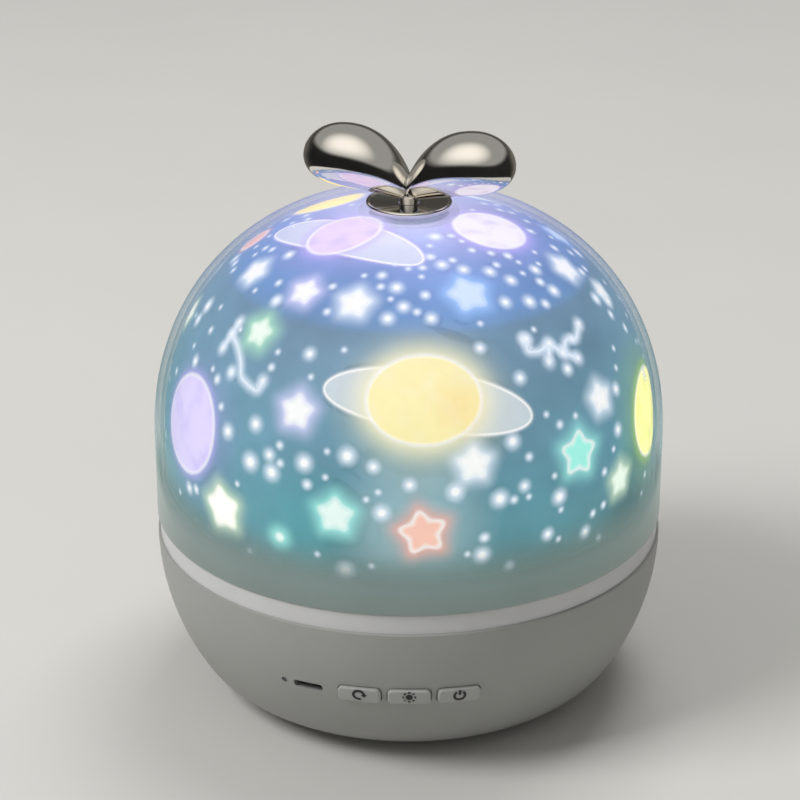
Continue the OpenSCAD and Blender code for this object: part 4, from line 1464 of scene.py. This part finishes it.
@dataclass
class Shade:
    """The frosted shade, with its rolled lower edge and the seat that the dish stands in."""

    skin: Skin = field(default_factory=Skin)
    wall: float = 1.5
    seat_z: float = 128.01
    seat_r: float = 11.05
    seat_lap: float = 0.25
    seat_drop: float = 0.2
    boss_r: float = 7.5
    hole_r: float = 2.6
    edge: float = 0.45
    edge_room: float = 2.0
    sides: int = 300

    def build(self, finish: bpy.types.Material) -> None:
        """Revolves the shade's section into the piece that stands for its node.

        Args:
            finish: its material.
        """
        skin, low, e = self.skin, self.skin.low_z, self.edge
        outer_r, inner_r = skin.wall_r, skin.wall_r - self.wall
        straight = np.linspace(low + self.edge_room, skin.spring_z - self.edge_room, 8)
        outside = skin.line(0.0, 0.0, skin.angle_at(self.seat_r + self.seat_lap, 0.0))
        inside = skin.line(self.wall, 0.0, skin.angle_at(self.boss_r, self.wall))
        under_z = self.seat_z - self.wall
        profile = np.vstack([
            arc((outer_r - e, low + e), e, -90, 0, 7),
            [[outer_r, z] for z in straight],
            outside,
            [[self.seat_r, outside[-1][1] - self.seat_drop], [self.seat_r, self.seat_z]],
            [[self.hole_r, self.seat_z], [self.hole_r, under_z], [self.boss_r, under_z]],
            inside[::-1],
            [[inner_r, z] for z in straight[::-1]],
            arc((inner_r + e, low + e), e, 180, 270, 7),
        ])
        points, faces = revolve(profile, self.sides)
        Piece("frosted_shade_shell", "shade", "frosted_shade", ("shade_dome",)).build(
            points, faces, finish
        )


@dataclass
class Sprout:
    """The mirror handle: two swelling leaves on a post, over a dish with a rolled rim."""

    seat_z: float = 128.01
    dish_r: float = 10.75
    dish_t: float = 0.7
    rim: float = 0.55
    dip: float = 0.3
    play: float = 0.2
    post_r: float = 2.4
    post_drop: float = 1.5
    bore_r: float = 1.1
    bore_cap: float = 0.5
    root_h: float = 3.8
    reach: float = 26.7
    half_h: float = 8.0
    half_w: float = 8.0
    rise: float = 9.4
    droop: float = 2.2
    bend: float = 8.6
    root: float = 0.39
    fullest: float = 0.52
    blunt: float = 2.5
    turn: float = -13.0

    def build(self, finish: bpy.types.Material) -> None:
        """Makes the leaves with their post, and the dish.

        Args:
            finish: their material.
        """
        root_z = self.seat_z + self.dish_t + self.root_h
        handle = joined([self._leaf(root_z, 1.0), self._leaf(root_z, -1.0), self._post(root_z)])
        for name, node, (points, faces) in (
            ("mirror_sprout", "sprout_handle", handle),
            ("mirror_dish", "handle_dish", revolve(self._dish_section(), 160)),
        ):
            Piece(name, "shade", "mirror_plating", (node,)).build(points, faces, finish, 50.0)

    def _swell(self, u: np.ndarray) -> np.ndarray:
        """A leaf's size at a share u of its reach, 1 where it is fullest.

        Up to there it is sqrt(1 - (1 - root^2)(1 - u / fullest)^2), which starts at the
        root's size, and after it sqrt(1 - p^blunt) at a share p of what is left.

        Args:
            u: shares of the reach.

        Returns:
            The size at each.
        """
        near = np.sqrt(1 - (1 - self.root**2) * (1 - u / self.fullest) ** 2)
        share = np.clip((u - self.fullest) / (1 - self.fullest), 0, 1)
        far = np.sqrt(np.maximum(1 - share**self.blunt, 0))
        return np.where(u < self.fullest, near, far)

    def _leaf(self, root_z: float, side: float) -> tuple[np.ndarray, np.ndarray]:
        """One leaf: rings of the swell's size round a middle line that rises and then droops.

        The middle line's height is rise * (1 - exp(-x / bend)) - droop * u^2 above the root,
        at x = reach * u along it.

        Args:
            root_z: height of the middle line at the axis.
            side: 1 for the leaf to +X, -1 for its mirror image.

        Returns:
            The points and the faces.
        """
        rings, sides = 70, 72
        u = np.sin(np.linspace(0, np.pi / 2, rings))[:, None]
        a = around(sides)[None, :]
        swell = self._swell(u)
        middle = root_z + self.rise * (1 - np.exp(-u * self.reach / self.bend)) - self.droop * u**2
        x = side * self.reach * u + 0 * a
        y = self.half_w * swell * np.cos(a)
        z = middle + self.half_h * swell * np.sin(a)
        cap = np.stack([0 * a, 0 * a, middle[0, 0] + 0 * a], -1)
        points = np.concatenate([cap, np.stack([x, y, z], -1)], 0).reshape(-1, 3)
        t = math.radians(self.turn)
        spin = np.array([[math.cos(t), math.sin(t), 0], [-math.sin(t), math.cos(t), 0], [0, 0, 1]])
        faces = grid_faces(rings + 1, sides, ring=True)
        return points @ spin, faces if side > 0 else faces[:, ::-1]

    def _post(self, top_z: float) -> tuple[np.ndarray, np.ndarray]:
        """The post: a rod with a bored underside, from the washer up into the leaves.

        Args:
            top_z: height of its top.

        Returns:
            The points and the faces.
        """
        low, cap = self.seat_z - self.post_drop, top_z - self.bore_cap
        profile = np.array([[self.post_r, low], [self.post_r, top_z], [0, top_z],
                            [0, cap], [self.bore_r, cap], [self.bore_r, low]])
        return revolve(profile, 48)

    def _dish_section(self) -> np.ndarray:
        """Section of the dish: a flat underside, a rolled rim and a slightly dished face.

        The face lies dip * (1 - s^2) under its edge, at a share s of the way out to it.

        Returns:
            (r, z) points of the closed section.
        """
        rim_r, hole_r = self.dish_r - self.rim, self.post_r + self.play
        across = np.linspace(rim_r - self.rim * 0.8, hole_r, 14)
        share = (across / across[0])[:, None]
        top = np.hstack([across[:, None], self.seat_z + self.dish_t - self.dip * (1 - share**2)])
        rolled = arc((rim_r, self.seat_z + self.rim), self.rim, -90, 150, 26)
        return np.vstack([[[hole_r, self.seat_z]], rolled, top])


# ---------------------------------------------------------------- base


class Sign(Enum):
    """The plain signs on the buttons."""

    ROTATE = "rotate"
    LIGHT = "light"
    POWER = "power"


@dataclass
class Base:
    """The white base: bowl, band and three pressed buttons with their signs."""

    bowl: Bowl = field(default_factory=Bowl)
    button_z: float = 24.0
    button_w: float = 10.5
    button_h: float = 4.3
    button_round: float = 1.2
    button_edge: float = 0.45
    proud: float = 1.1
    pitch: float = 11.103
    wall: float = 2.2
    root: float = 0.6
    flange_gap: float = 0.55
    flange_t: float = 1.2
    flange_lap: float = 1.0
    stem_w: float = 3.0
    stem_h: float = 1.8
    stem_l: float = 6.4
    line: float = 0.68
    ray_line: float = 0.42
    ink: float = 0.05
    ink_root: float = 0.1
    sign_lift: float = 0.3
    # radius and height of the edges that get rounded, how near to them a point of theirs
    # lies, and their new radius
    soft_edges: tuple[tuple[float, float], ...] = ((65.0, 42.0), (64.4, 47.2), (63.2, 50.2))
    soft_near: tuple[float, float] = (0.06, 0.02)
    soft_r: float = 0.4

    def build(
        self,
        nodes: dict[str, bpy.types.Object],
        shell: bpy.types.Material,
        collar: bpy.types.Material,
        key: bpy.types.Material,
        ink: bpy.types.Material,
    ) -> None:
        """Makes the bowl, the collar and the buttons.

        Args:
            nodes: the CAD objects by name.
            shell: finish of the bowl: the white plastic darkened as painted shade.
            collar: finish of the deck with the collar: the same plastic lightened as painted
                light from the glowing shade above.
            key: finish of the buttons: the same plastic darkened as painted shade.
            ink: finish of the signs.
        """
        for node, name, finish in (("base_bowl", "base_bowl_shell", shell),
                                   ("top_deck", "deck_and_collar", collar)):
            points, faces = solid_shape(nodes[node])
            made = Piece(name, "base", "white_shell", (node,)).build(points, faces, finish, 28.0)
            self._soften(made)
        for i, sign in enumerate(Sign):
            azimuth, body, node = (i - 1) * self.pitch, f"{sign.value}_key", f"{sign.value}_button"
            points, faces = self._button(azimuth)
            Piece(f"{node}_cap", body, "white_button", (node,)).build(points, faces, key)
            points, faces = joined(self._bar(p, azimuth) for p in self._strokes(sign))
            Piece(f"{sign.value}_sign", body, "white_button").build(points, faces, ink)

    def _soften(self, made: bpy.types.Object) -> None:
        """Rounds the long round edges that show: the bowl's rim and the collar's edges.

        Args:
            made: the bowl or the deck.
        """
        mesh = made.data
        co = np.zeros(len(mesh.vertices) * 3)
        mesh.vertices.foreach_get("co", co)
        co = co.reshape(-1, 3) / MM
        r, z = np.hypot(co[:, 0], co[:, 1]), co[:, 2]
        edges = np.zeros(len(mesh.edges) * 2, int)
        mesh.edges.foreach_get("vertices", edges)
        edges = edges.reshape(-1, 2)
        weight = np.zeros(len(edges), np.float32)
        for rim_r, rim_z in self.soft_edges:
            on = (np.abs(r - rim_r) < self.soft_near[0]) & (np.abs(z - rim_z) < self.soft_near[1])
            weight[on[edges].all(1)] = 1.0
        layer = mesh.attributes.new("bevel_weight_edge", "FLOAT", "EDGE")
        layer.data.foreach_set("value", weight)
        bevel = made.modifiers.new("rounded_rim", "BEVEL")
        bevel.limit_method = "WEIGHT"
        bevel.width = self.soft_r * MM
        bevel.segments = 3

    @staticmethod
    def _outline(w: float, h: float, r: float, inset: float) -> np.ndarray:
        """A rounded rectangle moved in by inset: four quarter circles joined by straight sides.

        Args:
            w: its width.
            h: height.
            r: corner radius.
            inset: how far the outline is moved in.

        Returns:
            (u, v) points, anticlockwise.
        """
        r = min(r, h / 2 - 0.01)
        corner = max(r - inset, 0.05)
        x, y = w / 2 - inset - corner, h / 2 - inset - corner
        places = ((x, y, 0), (-x, y, 90), (-x, -y, 180), (x, -y, 270))
        return np.vstack([arc((cx, cy), corner, a, a + 90, 9) for cx, cy, a in places])

    def _loft(
        self, azimuth: float, rings: Sequence[tuple[np.ndarray, np.ndarray]]
    ) -> tuple[np.ndarray, np.ndarray]:
        """Joins outlines into a bar: (u, v) at distance d becomes (u, -d, v) turned to azimuth.

        Args:
            azimuth: angle from the front, in degrees.
            rings: each outline's (u, v) points and their distances.

        Returns:
            The points and the faces.
        """
        a = math.radians(azimuth)
        rows = []
        for flat, dist in rings:
            x, y = flat[:, 0], -dist
            rows.append(np.stack([x * math.cos(a) - y * math.sin(a),
                                  x * math.sin(a) + y * math.cos(a),
                                  self.button_z + flat[:, 1]], -1))
        points = np.stack(rows, 0)
        return points.reshape(-1, 3), grid_faces(len(rows), points.shape[1], ring=True)

    def _button(self, azimuth: float) -> tuple[np.ndarray, list]:
        """A button: a crowned cap with rounded edges, its flange behind the wall and its stem.

        Args:
            azimuth: angle from the front, in degrees.

        Returns:
            The points and the faces.
        """
        low = self.button_z - self.button_h / 2 - self.flange_lap
        flange_r = float(self.bowl.radius(np.array([low]), -self.wall)[0]) - self.flange_gap
        w, h, r, e = self.button_w, self.button_h, self.button_round, self.button_edge
        back = self._outline(w, h, r, 0.0)
        root = np.full(len(back), flange_r - self.root)
        rings = [(back * 0.0, root), (back, root)]
        for beta in np.linspace(0, 90, 7):
            b = math.radians(beta)
            flat = self._outline(w, h, r, e * (1 - math.cos(b)))
            rings.append((flat, self._face(flat) - e * (1 - math.sin(b))))
        last = rings[-1][0]
        rings += [(last * share, self._face(last * share)) for share in np.linspace(0.9, 0.0, 8)]
        parts = [self._loft(azimuth, rings)]
        wide = self._outline(w, h + 2 * self.flange_lap, r, 0.0)
        stem = np.array([[1, 1], [-1, 1], [-1, -1], [1, -1]]) * (self.stem_w / 2, self.stem_h / 2)
        for flat, start, end in (
            (wide, flange_r - self.flange_t, flange_r),
            (stem, flange_r - self.stem_l, flange_r - self.flange_t / 2),
        ):
            near, far, shut = np.full(len(flat), start), np.full(len(flat), end), flat * 0
            bar = [(shut, near), (flat, near), (flat, far), (shut, far)]
            parts.append(self._loft(azimuth, bar))
        return joined(parts)

    def _face(self, flat: np.ndarray) -> np.ndarray:
        """Distance of a button's front from the axis plane: the bowl's form moved out by proud."""
        r = self.bowl.radius(self.button_z + flat[:, 1], self.proud)
        return np.sqrt(r**2 - flat[:, 0] ** 2)

    @staticmethod
    def _strokes(sign: Sign) -> list[np.ndarray]:
        """The (u, v) paths of a sign.

        A turning arrow is an arc with two barbs, a sun is two small rings with eight rays,
        and the power sign is an open ring with a bar.

        Args:
            sign: the sign.

        Returns:
            One array of points for each stroke.
        """
        if sign is Sign.ROTATE:
            ring = arc((0, 0), 1.3, -8, 290, 30)
            tip = ring[0]
            return [ring, np.array([tip + (-0.5, 0.3), tip + (0, -0.15), tip + (0.45, 0.4)])]
        if sign is Sign.POWER:
            return [arc((0, -0.15), 1.3, 125, 415, 30), np.array([[0, 0.1], [0, 1.5]])]
        turns = range(0, 360, 45)
        rays = [arc((0, 0), 1.0, a, a, 1).repeat(2, 0) * [[1.25], [1.7]] for a in turns]
        return [arc((0, 0), 0.25, 0, 360, 16), arc((0, 0), 0.55, 0, 360, 20), *rays]

    def _bar(self, path: np.ndarray, azimuth: float) -> tuple[np.ndarray, list]:
        """A thin raised line along a path: four corners at each point, closed at both ends.

        Args:
            path: (u, v) points.
            azimuth: angle of the button from the front.

        Returns:
            The points and the faces.
        """
        ahead = np.gradient(path, axis=0)
        across = np.stack([-ahead[:, 1], ahead[:, 0]], -1)
        across /= np.linalg.norm(across, axis=1)[:, None]
        is_ray = len(path) == 2 and np.ptp(path) <= 1.0
        half = (self.ray_line if is_ray else self.line) / 2
        rows = [
            np.hstack([path + across * half * side, np.full((len(path), 1), height)])
            for side, height in (
                (1, -self.ink_root), (-1, -self.ink_root), (-1, self.ink), (1, self.ink),
            )
        ]
        flat = np.stack(rows, 1).reshape(-1, 3)
        points = self.bowl.wrap(flat, azimuth, self.button_z + self.sign_lift, self.proud)
        faces = [list(f) for f in grid_faces(len(path), 4, ring=True)]
        end = 4 * (len(path) - 1)
        return points, faces + [[3, 2, 1, 0], [end, end + 1, end + 2, end + 3]]


# ---------------------------------------------------------------- inner parts


@dataclass
class InnerParts:
    """Finishes of the CAD nodes that keep their own meshes."""

    finishes: dict[str, Any] = field(default_factory=lambda: {
        "foot_rubber": HardFinish("grey_rubber", (0.07, 0.07, 0.075), (0.1, 0.1, 0.105),
                                  Marks.SPECKLED, 0.0, 0.8, 0.4, 0.03),
        "steel": HardFinish("turned_steel", (0.56, 0.57, 0.58), (0.45, 0.46, 0.47),
                            Marks.TURNED, 1.0, 0.3, 0.3),
        "board": HardFinish("green_board", (0.03, 0.16, 0.07), (0.10, 0.30, 0.13),
                            Marks.TRACES, 0.0, 0.35, 3.0, 0.03),
        "white_board": HardFinish("white_board", (0.72, 0.72, 0.70), (0.55, 0.56, 0.55),
                                  Marks.TRACES, 0.0, 0.4, 2.5, 0.03),
        "resin": HardFinish("black_resin", (0.015, 0.015, 0.017), (0.03, 0.03, 0.032),
                            Marks.SPECKLED, 0.0, 0.5, 0.2, 0.01),
        "coil": HardFinish("wound_copper", (0.75, 0.36, 0.16), (0.32, 0.12, 0.05),
                           Marks.WOUND, 1.0, 0.3, 0.5, 0.1),
        "plate": HardFinish("brushed_plate", (0.60, 0.60, 0.60), (0.48, 0.48, 0.49),
                            Marks.BRUSHED, 1.0, 0.28, 0.3, 0.01),
        "socket": HardFinish("dull_plate", (0.05, 0.048, 0.04), (0.03, 0.028, 0.022),
                             Marks.BRUSHED, 1.0, 0.55, 0.3, 0.01),
        "smoked": MouldedPlastic("smoked_pipe", (0.07, 0.07, 0.075), 0.3, 0.6, 0.003),
        "phosphor": HardFinish("yellow_phosphor", (0.9, 0.72, 0.12), (0.98, 0.86, 0.3),
                               Marks.SPECKLED, 0.0, 0.5, 0.2, 0.01),
        "nylon": MouldedPlastic("natural_nylon", (0.66, 0.65, 0.60), 0.4, 0.4, 0.01),
        "gear_nylon": MouldedPlastic("gear_nylon", (0.68, 0.68, 0.66), 0.38, 0.5, 0.01),
        "wrap": HardFinish("cell_wrap", (0.02, 0.10, 0.34), (0.03, 0.14, 0.42),
                           Marks.BRUSHED, 0.0, 0.25, 2.0, 0.01),
        "jacket": HardFinish("red_jacket", (0.42, 0.02, 0.015), (0.5, 0.03, 0.02),
                             Marks.SPECKLED, 0.0, 0.4, 0.3, 0.01),
        "clear": MouldedPlastic("clear_plastic", (0.82, 0.88, 0.92), 0.12, 0.8, 0.003, 0.02, 0.72),
        "dome_clear": MouldedPlastic("clear_dome", (0.82, 0.88, 0.92), 0.1, 0.8, 0.003, 0.02, 0.7),
    })
    nodes: dict[str, str] = field(default_factory=lambda: {
        "rubber_feet": "foot_rubber", "deck_screws": "steel", "circuit_board": "board",
        "board_screws": "steel", "control_chip": "resin", "charge_chip": "resin",
        "choke_coil": "coil", "usb_shell": "socket", "usb_tongue": "resin",
        "switch_bodies": "resin", "indicator_led": "phosphor", "indicator_light_pipe": "smoked",
        "cable_sockets": "nylon", "cable_plugs": "nylon", "battery_cell": "wrap",
        "battery_cradle": "nylon", "battery_contacts": "plate", "gear_case": "nylon",
        "motor_can": "plate", "motor_screws": "steel", "led_cable": "jacket",
        "motor_cable": "jacket", "battery_cable": "jacket", "table_washer": "nylon",
        "table_clip": "steel", "lamp_board": "white_board", "lamp_chips": "phosphor",
        "lamp_lens": "clear", "lamp_screws": "steel", "turntable": "gear_nylon",
        "film_carrier": "dome_clear", "film_retainer": "clear", "motor_shaft": "steel",
        "drive_pinion": "gear_nylon", "handle_washer": "clear", "handle_screw": "steel",
        "rotate_plunger": "resin", "light_plunger": "resin", "power_plunger": "resin",
    })

    def dress(self, nodes: dict[str, bpy.types.Object]) -> None:
        """Gives each CAD node its finish.

        Args:
            nodes: the CAD objects by name.
        """
        made = {key: finish.make() for key, finish in self.finishes.items()}
        for name, key in self.nodes.items():
            mesh = nodes[name].data
            for i in range(max(len(mesh.materials), 1)):
                if i < len(mesh.materials):
                    mesh.materials[i] = made[key]
                else:
                    mesh.materials.append(made[key])
            LOG.info("%s: dressed as %s", name, key)


# ---------------------------------------------------------------- studio


@dataclass(frozen=True)
class Lamp:
    """A square soft lamp: its place and side in millimetres, and its power in watts."""

    name: str
    place: tuple[float, float, float]
    side: float
    power: float

    def build(self, target: tuple[float, float, float]) -> None:
        """Makes the lamp, which gloss doesn't see.

        Args:
            target: the point that it is turned to, in millimetres.
        """
        data = bpy.data.lights.new(self.name, "AREA")
        data.size = self.side * MM
        data.energy = self.power
        lamp = placed(self.name, data)
        lamp.location = Vector(self.place) * MM
        aim = Vector(target) * MM - lamp.location
        lamp.rotation_euler = aim.to_track_quat("-Z", "Y").to_euler()
        lamp.visible_glossy = False


@dataclass
class Studio:
    """Pale floor, two cards that only gloss sees, two soft lamps, an even world and the camera."""

    sides: int = 96
    floor_r: float = 6000.0
    ring_foot_r: float = 215.0
    ring_spread: float = 115.0
    ring_rows: int = 10
    ring_top: float = 232.0
    ring_back: float = 110.0
    ring_sides: float = 70.0
    window_r: float = 1500.0
    window_place: tuple[float, float, float] = (-330, -700, 1180)
    lamps: tuple[Lamp, ...] = (
        Lamp("key_lamp", (-950, -420, 1150), 620, 15.5),
        Lamp("top_lamp", (250, 500, 1400), 700, 9.0),
    )
    lit_point: tuple[float, float, float] = (0, 0, 60)
    world_colour: Colour = (0.80, 0.80, 0.78)
    world_strength: float = 0.42
    aim: tuple[float, float, float] = (-2.23, 0.0, 75.0)
    distance: float = 670.0
    elevation: float = 23.45
    lens: float = 117.83

    def build(self) -> None:
        """Makes the floor, the cards, the lamps, the world and the camera."""
        self._floor()
        self._dark_ring()
        self._soft_window()
        for lamp in self.lamps:
            lamp.build(self.lit_point)
        self._world()
        self._camera()

    def _floor(self) -> None:
        """A round floor: rings of growing radius, level at 0."""
        ring = np.concatenate([[0.0], np.geomspace(40, self.floor_r, 26)])
        points, faces = disc(ring, self.sides)
        self._stage("floor", points, faces[:, ::-1], FloorPaint("pale_floor").make())

    def _dark_ring(self) -> None:
        """A dark cone round the night light, seen only in the mirror parts.

        Its edge stands at ring_top, higher by ring_back * ((1 + sin t) / 2)^2 towards the
        back and by ring_sides * (cos t)^4 at the sides.
        """
        share = np.linspace(0, 1, self.ring_rows)[:, None]
        turn = around(self.sides)
        r = self.ring_foot_r + self.ring_spread * share
        back, side = ((1 + np.sin(turn)) / 2) ** 2, np.cos(turn) ** 4
        top = self.ring_top + self.ring_back * back + self.ring_sides * side
        points = np.stack([r * np.cos(turn), r * np.sin(turn), 1 + (top - 1) * share], -1)
        faces = grid_faces(self.ring_rows, self.sides, ring=True)
        card = DarkCard("dark_ring").make()
        ring = self._stage("dark_ring", points.reshape(-1, 3), faces, card)
        write_values(ring.data, "rise", np.repeat(share[:, 0], self.sides))
        self._only_mirrored(ring)

    def _soft_window(self) -> None:
        """A large pale disc in front, which only shows as a gleam."""
        points, faces = disc(np.linspace(0, self.window_r, 12), 64)
        light = WindowLight("soft_window", self.window_r).make()
        window = self._stage("soft_window", points, faces, light)
        window.location = Vector(self.window_place) * MM
        window.rotation_euler = (-window.location).to_track_quat("Z", "Y").to_euler()
        self._only_mirrored(window)

    @staticmethod
    def _only_mirrored(card: bpy.types.Object) -> None:
        """Leaves a card out of everything but reflections."""
        card.visible_camera = card.visible_diffuse = card.visible_shadow = False
        card.visible_transmission = card.visible_volume_scatter = False

    @staticmethod
    def _stage(
        name: str, points: np.ndarray, faces: np.ndarray, finish: bpy.types.Material
    ) -> bpy.types.Object:
        """Makes an object that isn't part of the night light.

        Args:
            name: its name.
            points: vertices in millimetres.
            faces: its quads.
            finish: its material.

        Returns:
            The new object.
        """
        mesh = bpy.data.meshes.new(name)
        mesh.from_pydata((points * MM).tolist(), [], faces.tolist())
        mesh.materials.append(finish)
        made = placed(name, mesh)
        LOG.info("%s: stage", name)
        return made

    def _world(self) -> None:
        """An even pale world."""
        world = bpy.data.worlds.new("pale_room")
        world.use_nodes = True
        back = world.node_tree.nodes["Background"]
        back.inputs["Color"].default_value = (*self.world_colour, 1.0)
        back.inputs["Strength"].default_value = self.world_strength
        bpy.context.scene.world = world

    def _camera(self) -> None:
        """The camera in front, looking a little down."""
        data = bpy.data.cameras.new("camera")
        data.lens = self.lens
        data.sensor_width = 36.0
        data.clip_start, data.clip_end = 0.05, 30.0
        camera = placed("camera", data)
        tilt = math.radians(self.elevation)
        back = Vector((0, -math.cos(tilt), math.sin(tilt))) * self.distance
        camera.location = (Vector(self.aim) + back) * MM
        camera.rotation_euler = (math.pi / 2 - tilt, 0, 0)
        bpy.context.scene.camera = camera


# ---------------------------------------------------------------- whole model

# Lowest and highest height, and the colours shown at heights between them
SIDE_GLOW = HeightGlow(50.0, 112.0, (
    (52.0, paint(80, 100, 94)), (58.0, paint(82, 114, 112)), (65.0, paint(66, 126, 134)),
    (75.0, paint(77, 133, 145)), (88.0, paint(88, 136, 154)), (100.0, paint(91, 128, 146)),
    (107.0, paint(90, 124, 141)), (111.0, paint(86, 116, 134)),
))
TOP_GLOW = HeightGlow(110.0, 129.0, (
    (110.9, paint(86, 116, 134)), (112.2, paint(82, 120, 164)), (114.0, paint(76, 120, 178)),
    (117.0, paint(74, 118, 180)), (121.0, paint(98, 126, 192)), (124.0, paint(142, 150, 210)),
    (127.0, paint(204, 200, 240)),
))
SHADE_GLOW = HeightGlow(46.0, 130.0, (
    (47.0, paint(80, 94, 88)), (56.0, paint(84, 106, 101)), (68.0, paint(86, 128, 131)),
    (95.0, paint(98, 132, 144)), (112.0, paint(106, 132, 166)), (122.0, paint(136, 142, 194)),
    (129.0, paint(198, 194, 234)),
))


def figure_finishes() -> dict[Figure, bpy.types.Material]:
    """Makes the finishes of the printed figures.

    Returns:
        The finish of each kind of figure.
    """
    glows = {
        Figure.RING: PrintGlow("ring_glow", fill=0.07, edge=1.0, edge_width=1.0, halo=0.5,
                               halo_fall=1.6, soften=0.1),
        Figure.PLANET: PrintGlow("planet_glow", swirl=0.5, edge=0.8, edge_width=0.8, halo=0.85,
                                 halo_fall=2.2, soften=0.4),
        Figure.STAR: PrintGlow("star_glow", halo=0.95, halo_fall=1.8, soften=1.0),
        Figure.OUTLINED_STAR: PrintGlow("outlined_star_glow", fill=0.95, edge=0.8,
                                        edge_width=0.95, halo=0.9, halo_fall=2.2, soften=0.6),
        Figure.BLOT: PrintGlow("blot_glow", halo=0.9, halo_fall=1.6, soften=0.6),
        Figure.DOT: PrintGlow("dot_glow", halo=0.95, halo_fall=1.6, soften=0.35),
        Figure.GLOW_HAZE: PrintGlow("haze_glow", fill=0.26, halo=0.26, halo_fall=1.2, soften=0.01),
    }
    return {kind: glow.make() for kind, glow in glows.items()}


def main() -> None:
    """Builds and dresses the whole night light in its studio."""
    logging.basicConfig(level=logging.INFO, format="%(name)s: %(message)s")
    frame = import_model()
    # The bowl, the collar and the buttons are one white plastic: the bowl and the buttons are
    # darkened as painted shade, and the collar is lighter as painted light from the glowing shade.
    shell = MouldedPlastic("white_shell", (0.345, 0.348, 0.333)).make()
    collar = MouldedPlastic("glow_lit_collar", (0.60, 0.60, 0.605), 0.3).make()
    key = MouldedPlastic("white_button", (0.40, 0.403, 0.388), 0.33).make()
    ink = MouldedPlastic("dark_ink", (0.02, 0.02, 0.02), 0.5, 0.2, 0.004).make()
    InnerParts().dress(frame["nodes"])
    Base().build(frame["nodes"], shell, collar, key, ink)
    StarFilms().build(
        SkyFilm("side_film", SIDE_GLOW).make(), SkyFilm("top_film", TOP_GLOW).make(),
        figure_finishes(),
    )
    Shade().build(FrostedShell("frosted_shade", SHADE_GLOW).make())
    Sprout().build(MirrorPlate("mirror_plating").make())
    Studio().build()
    bpy.context.scene.view_settings.view_transform = "Standard"


if __name__ == "__main__":
    main()
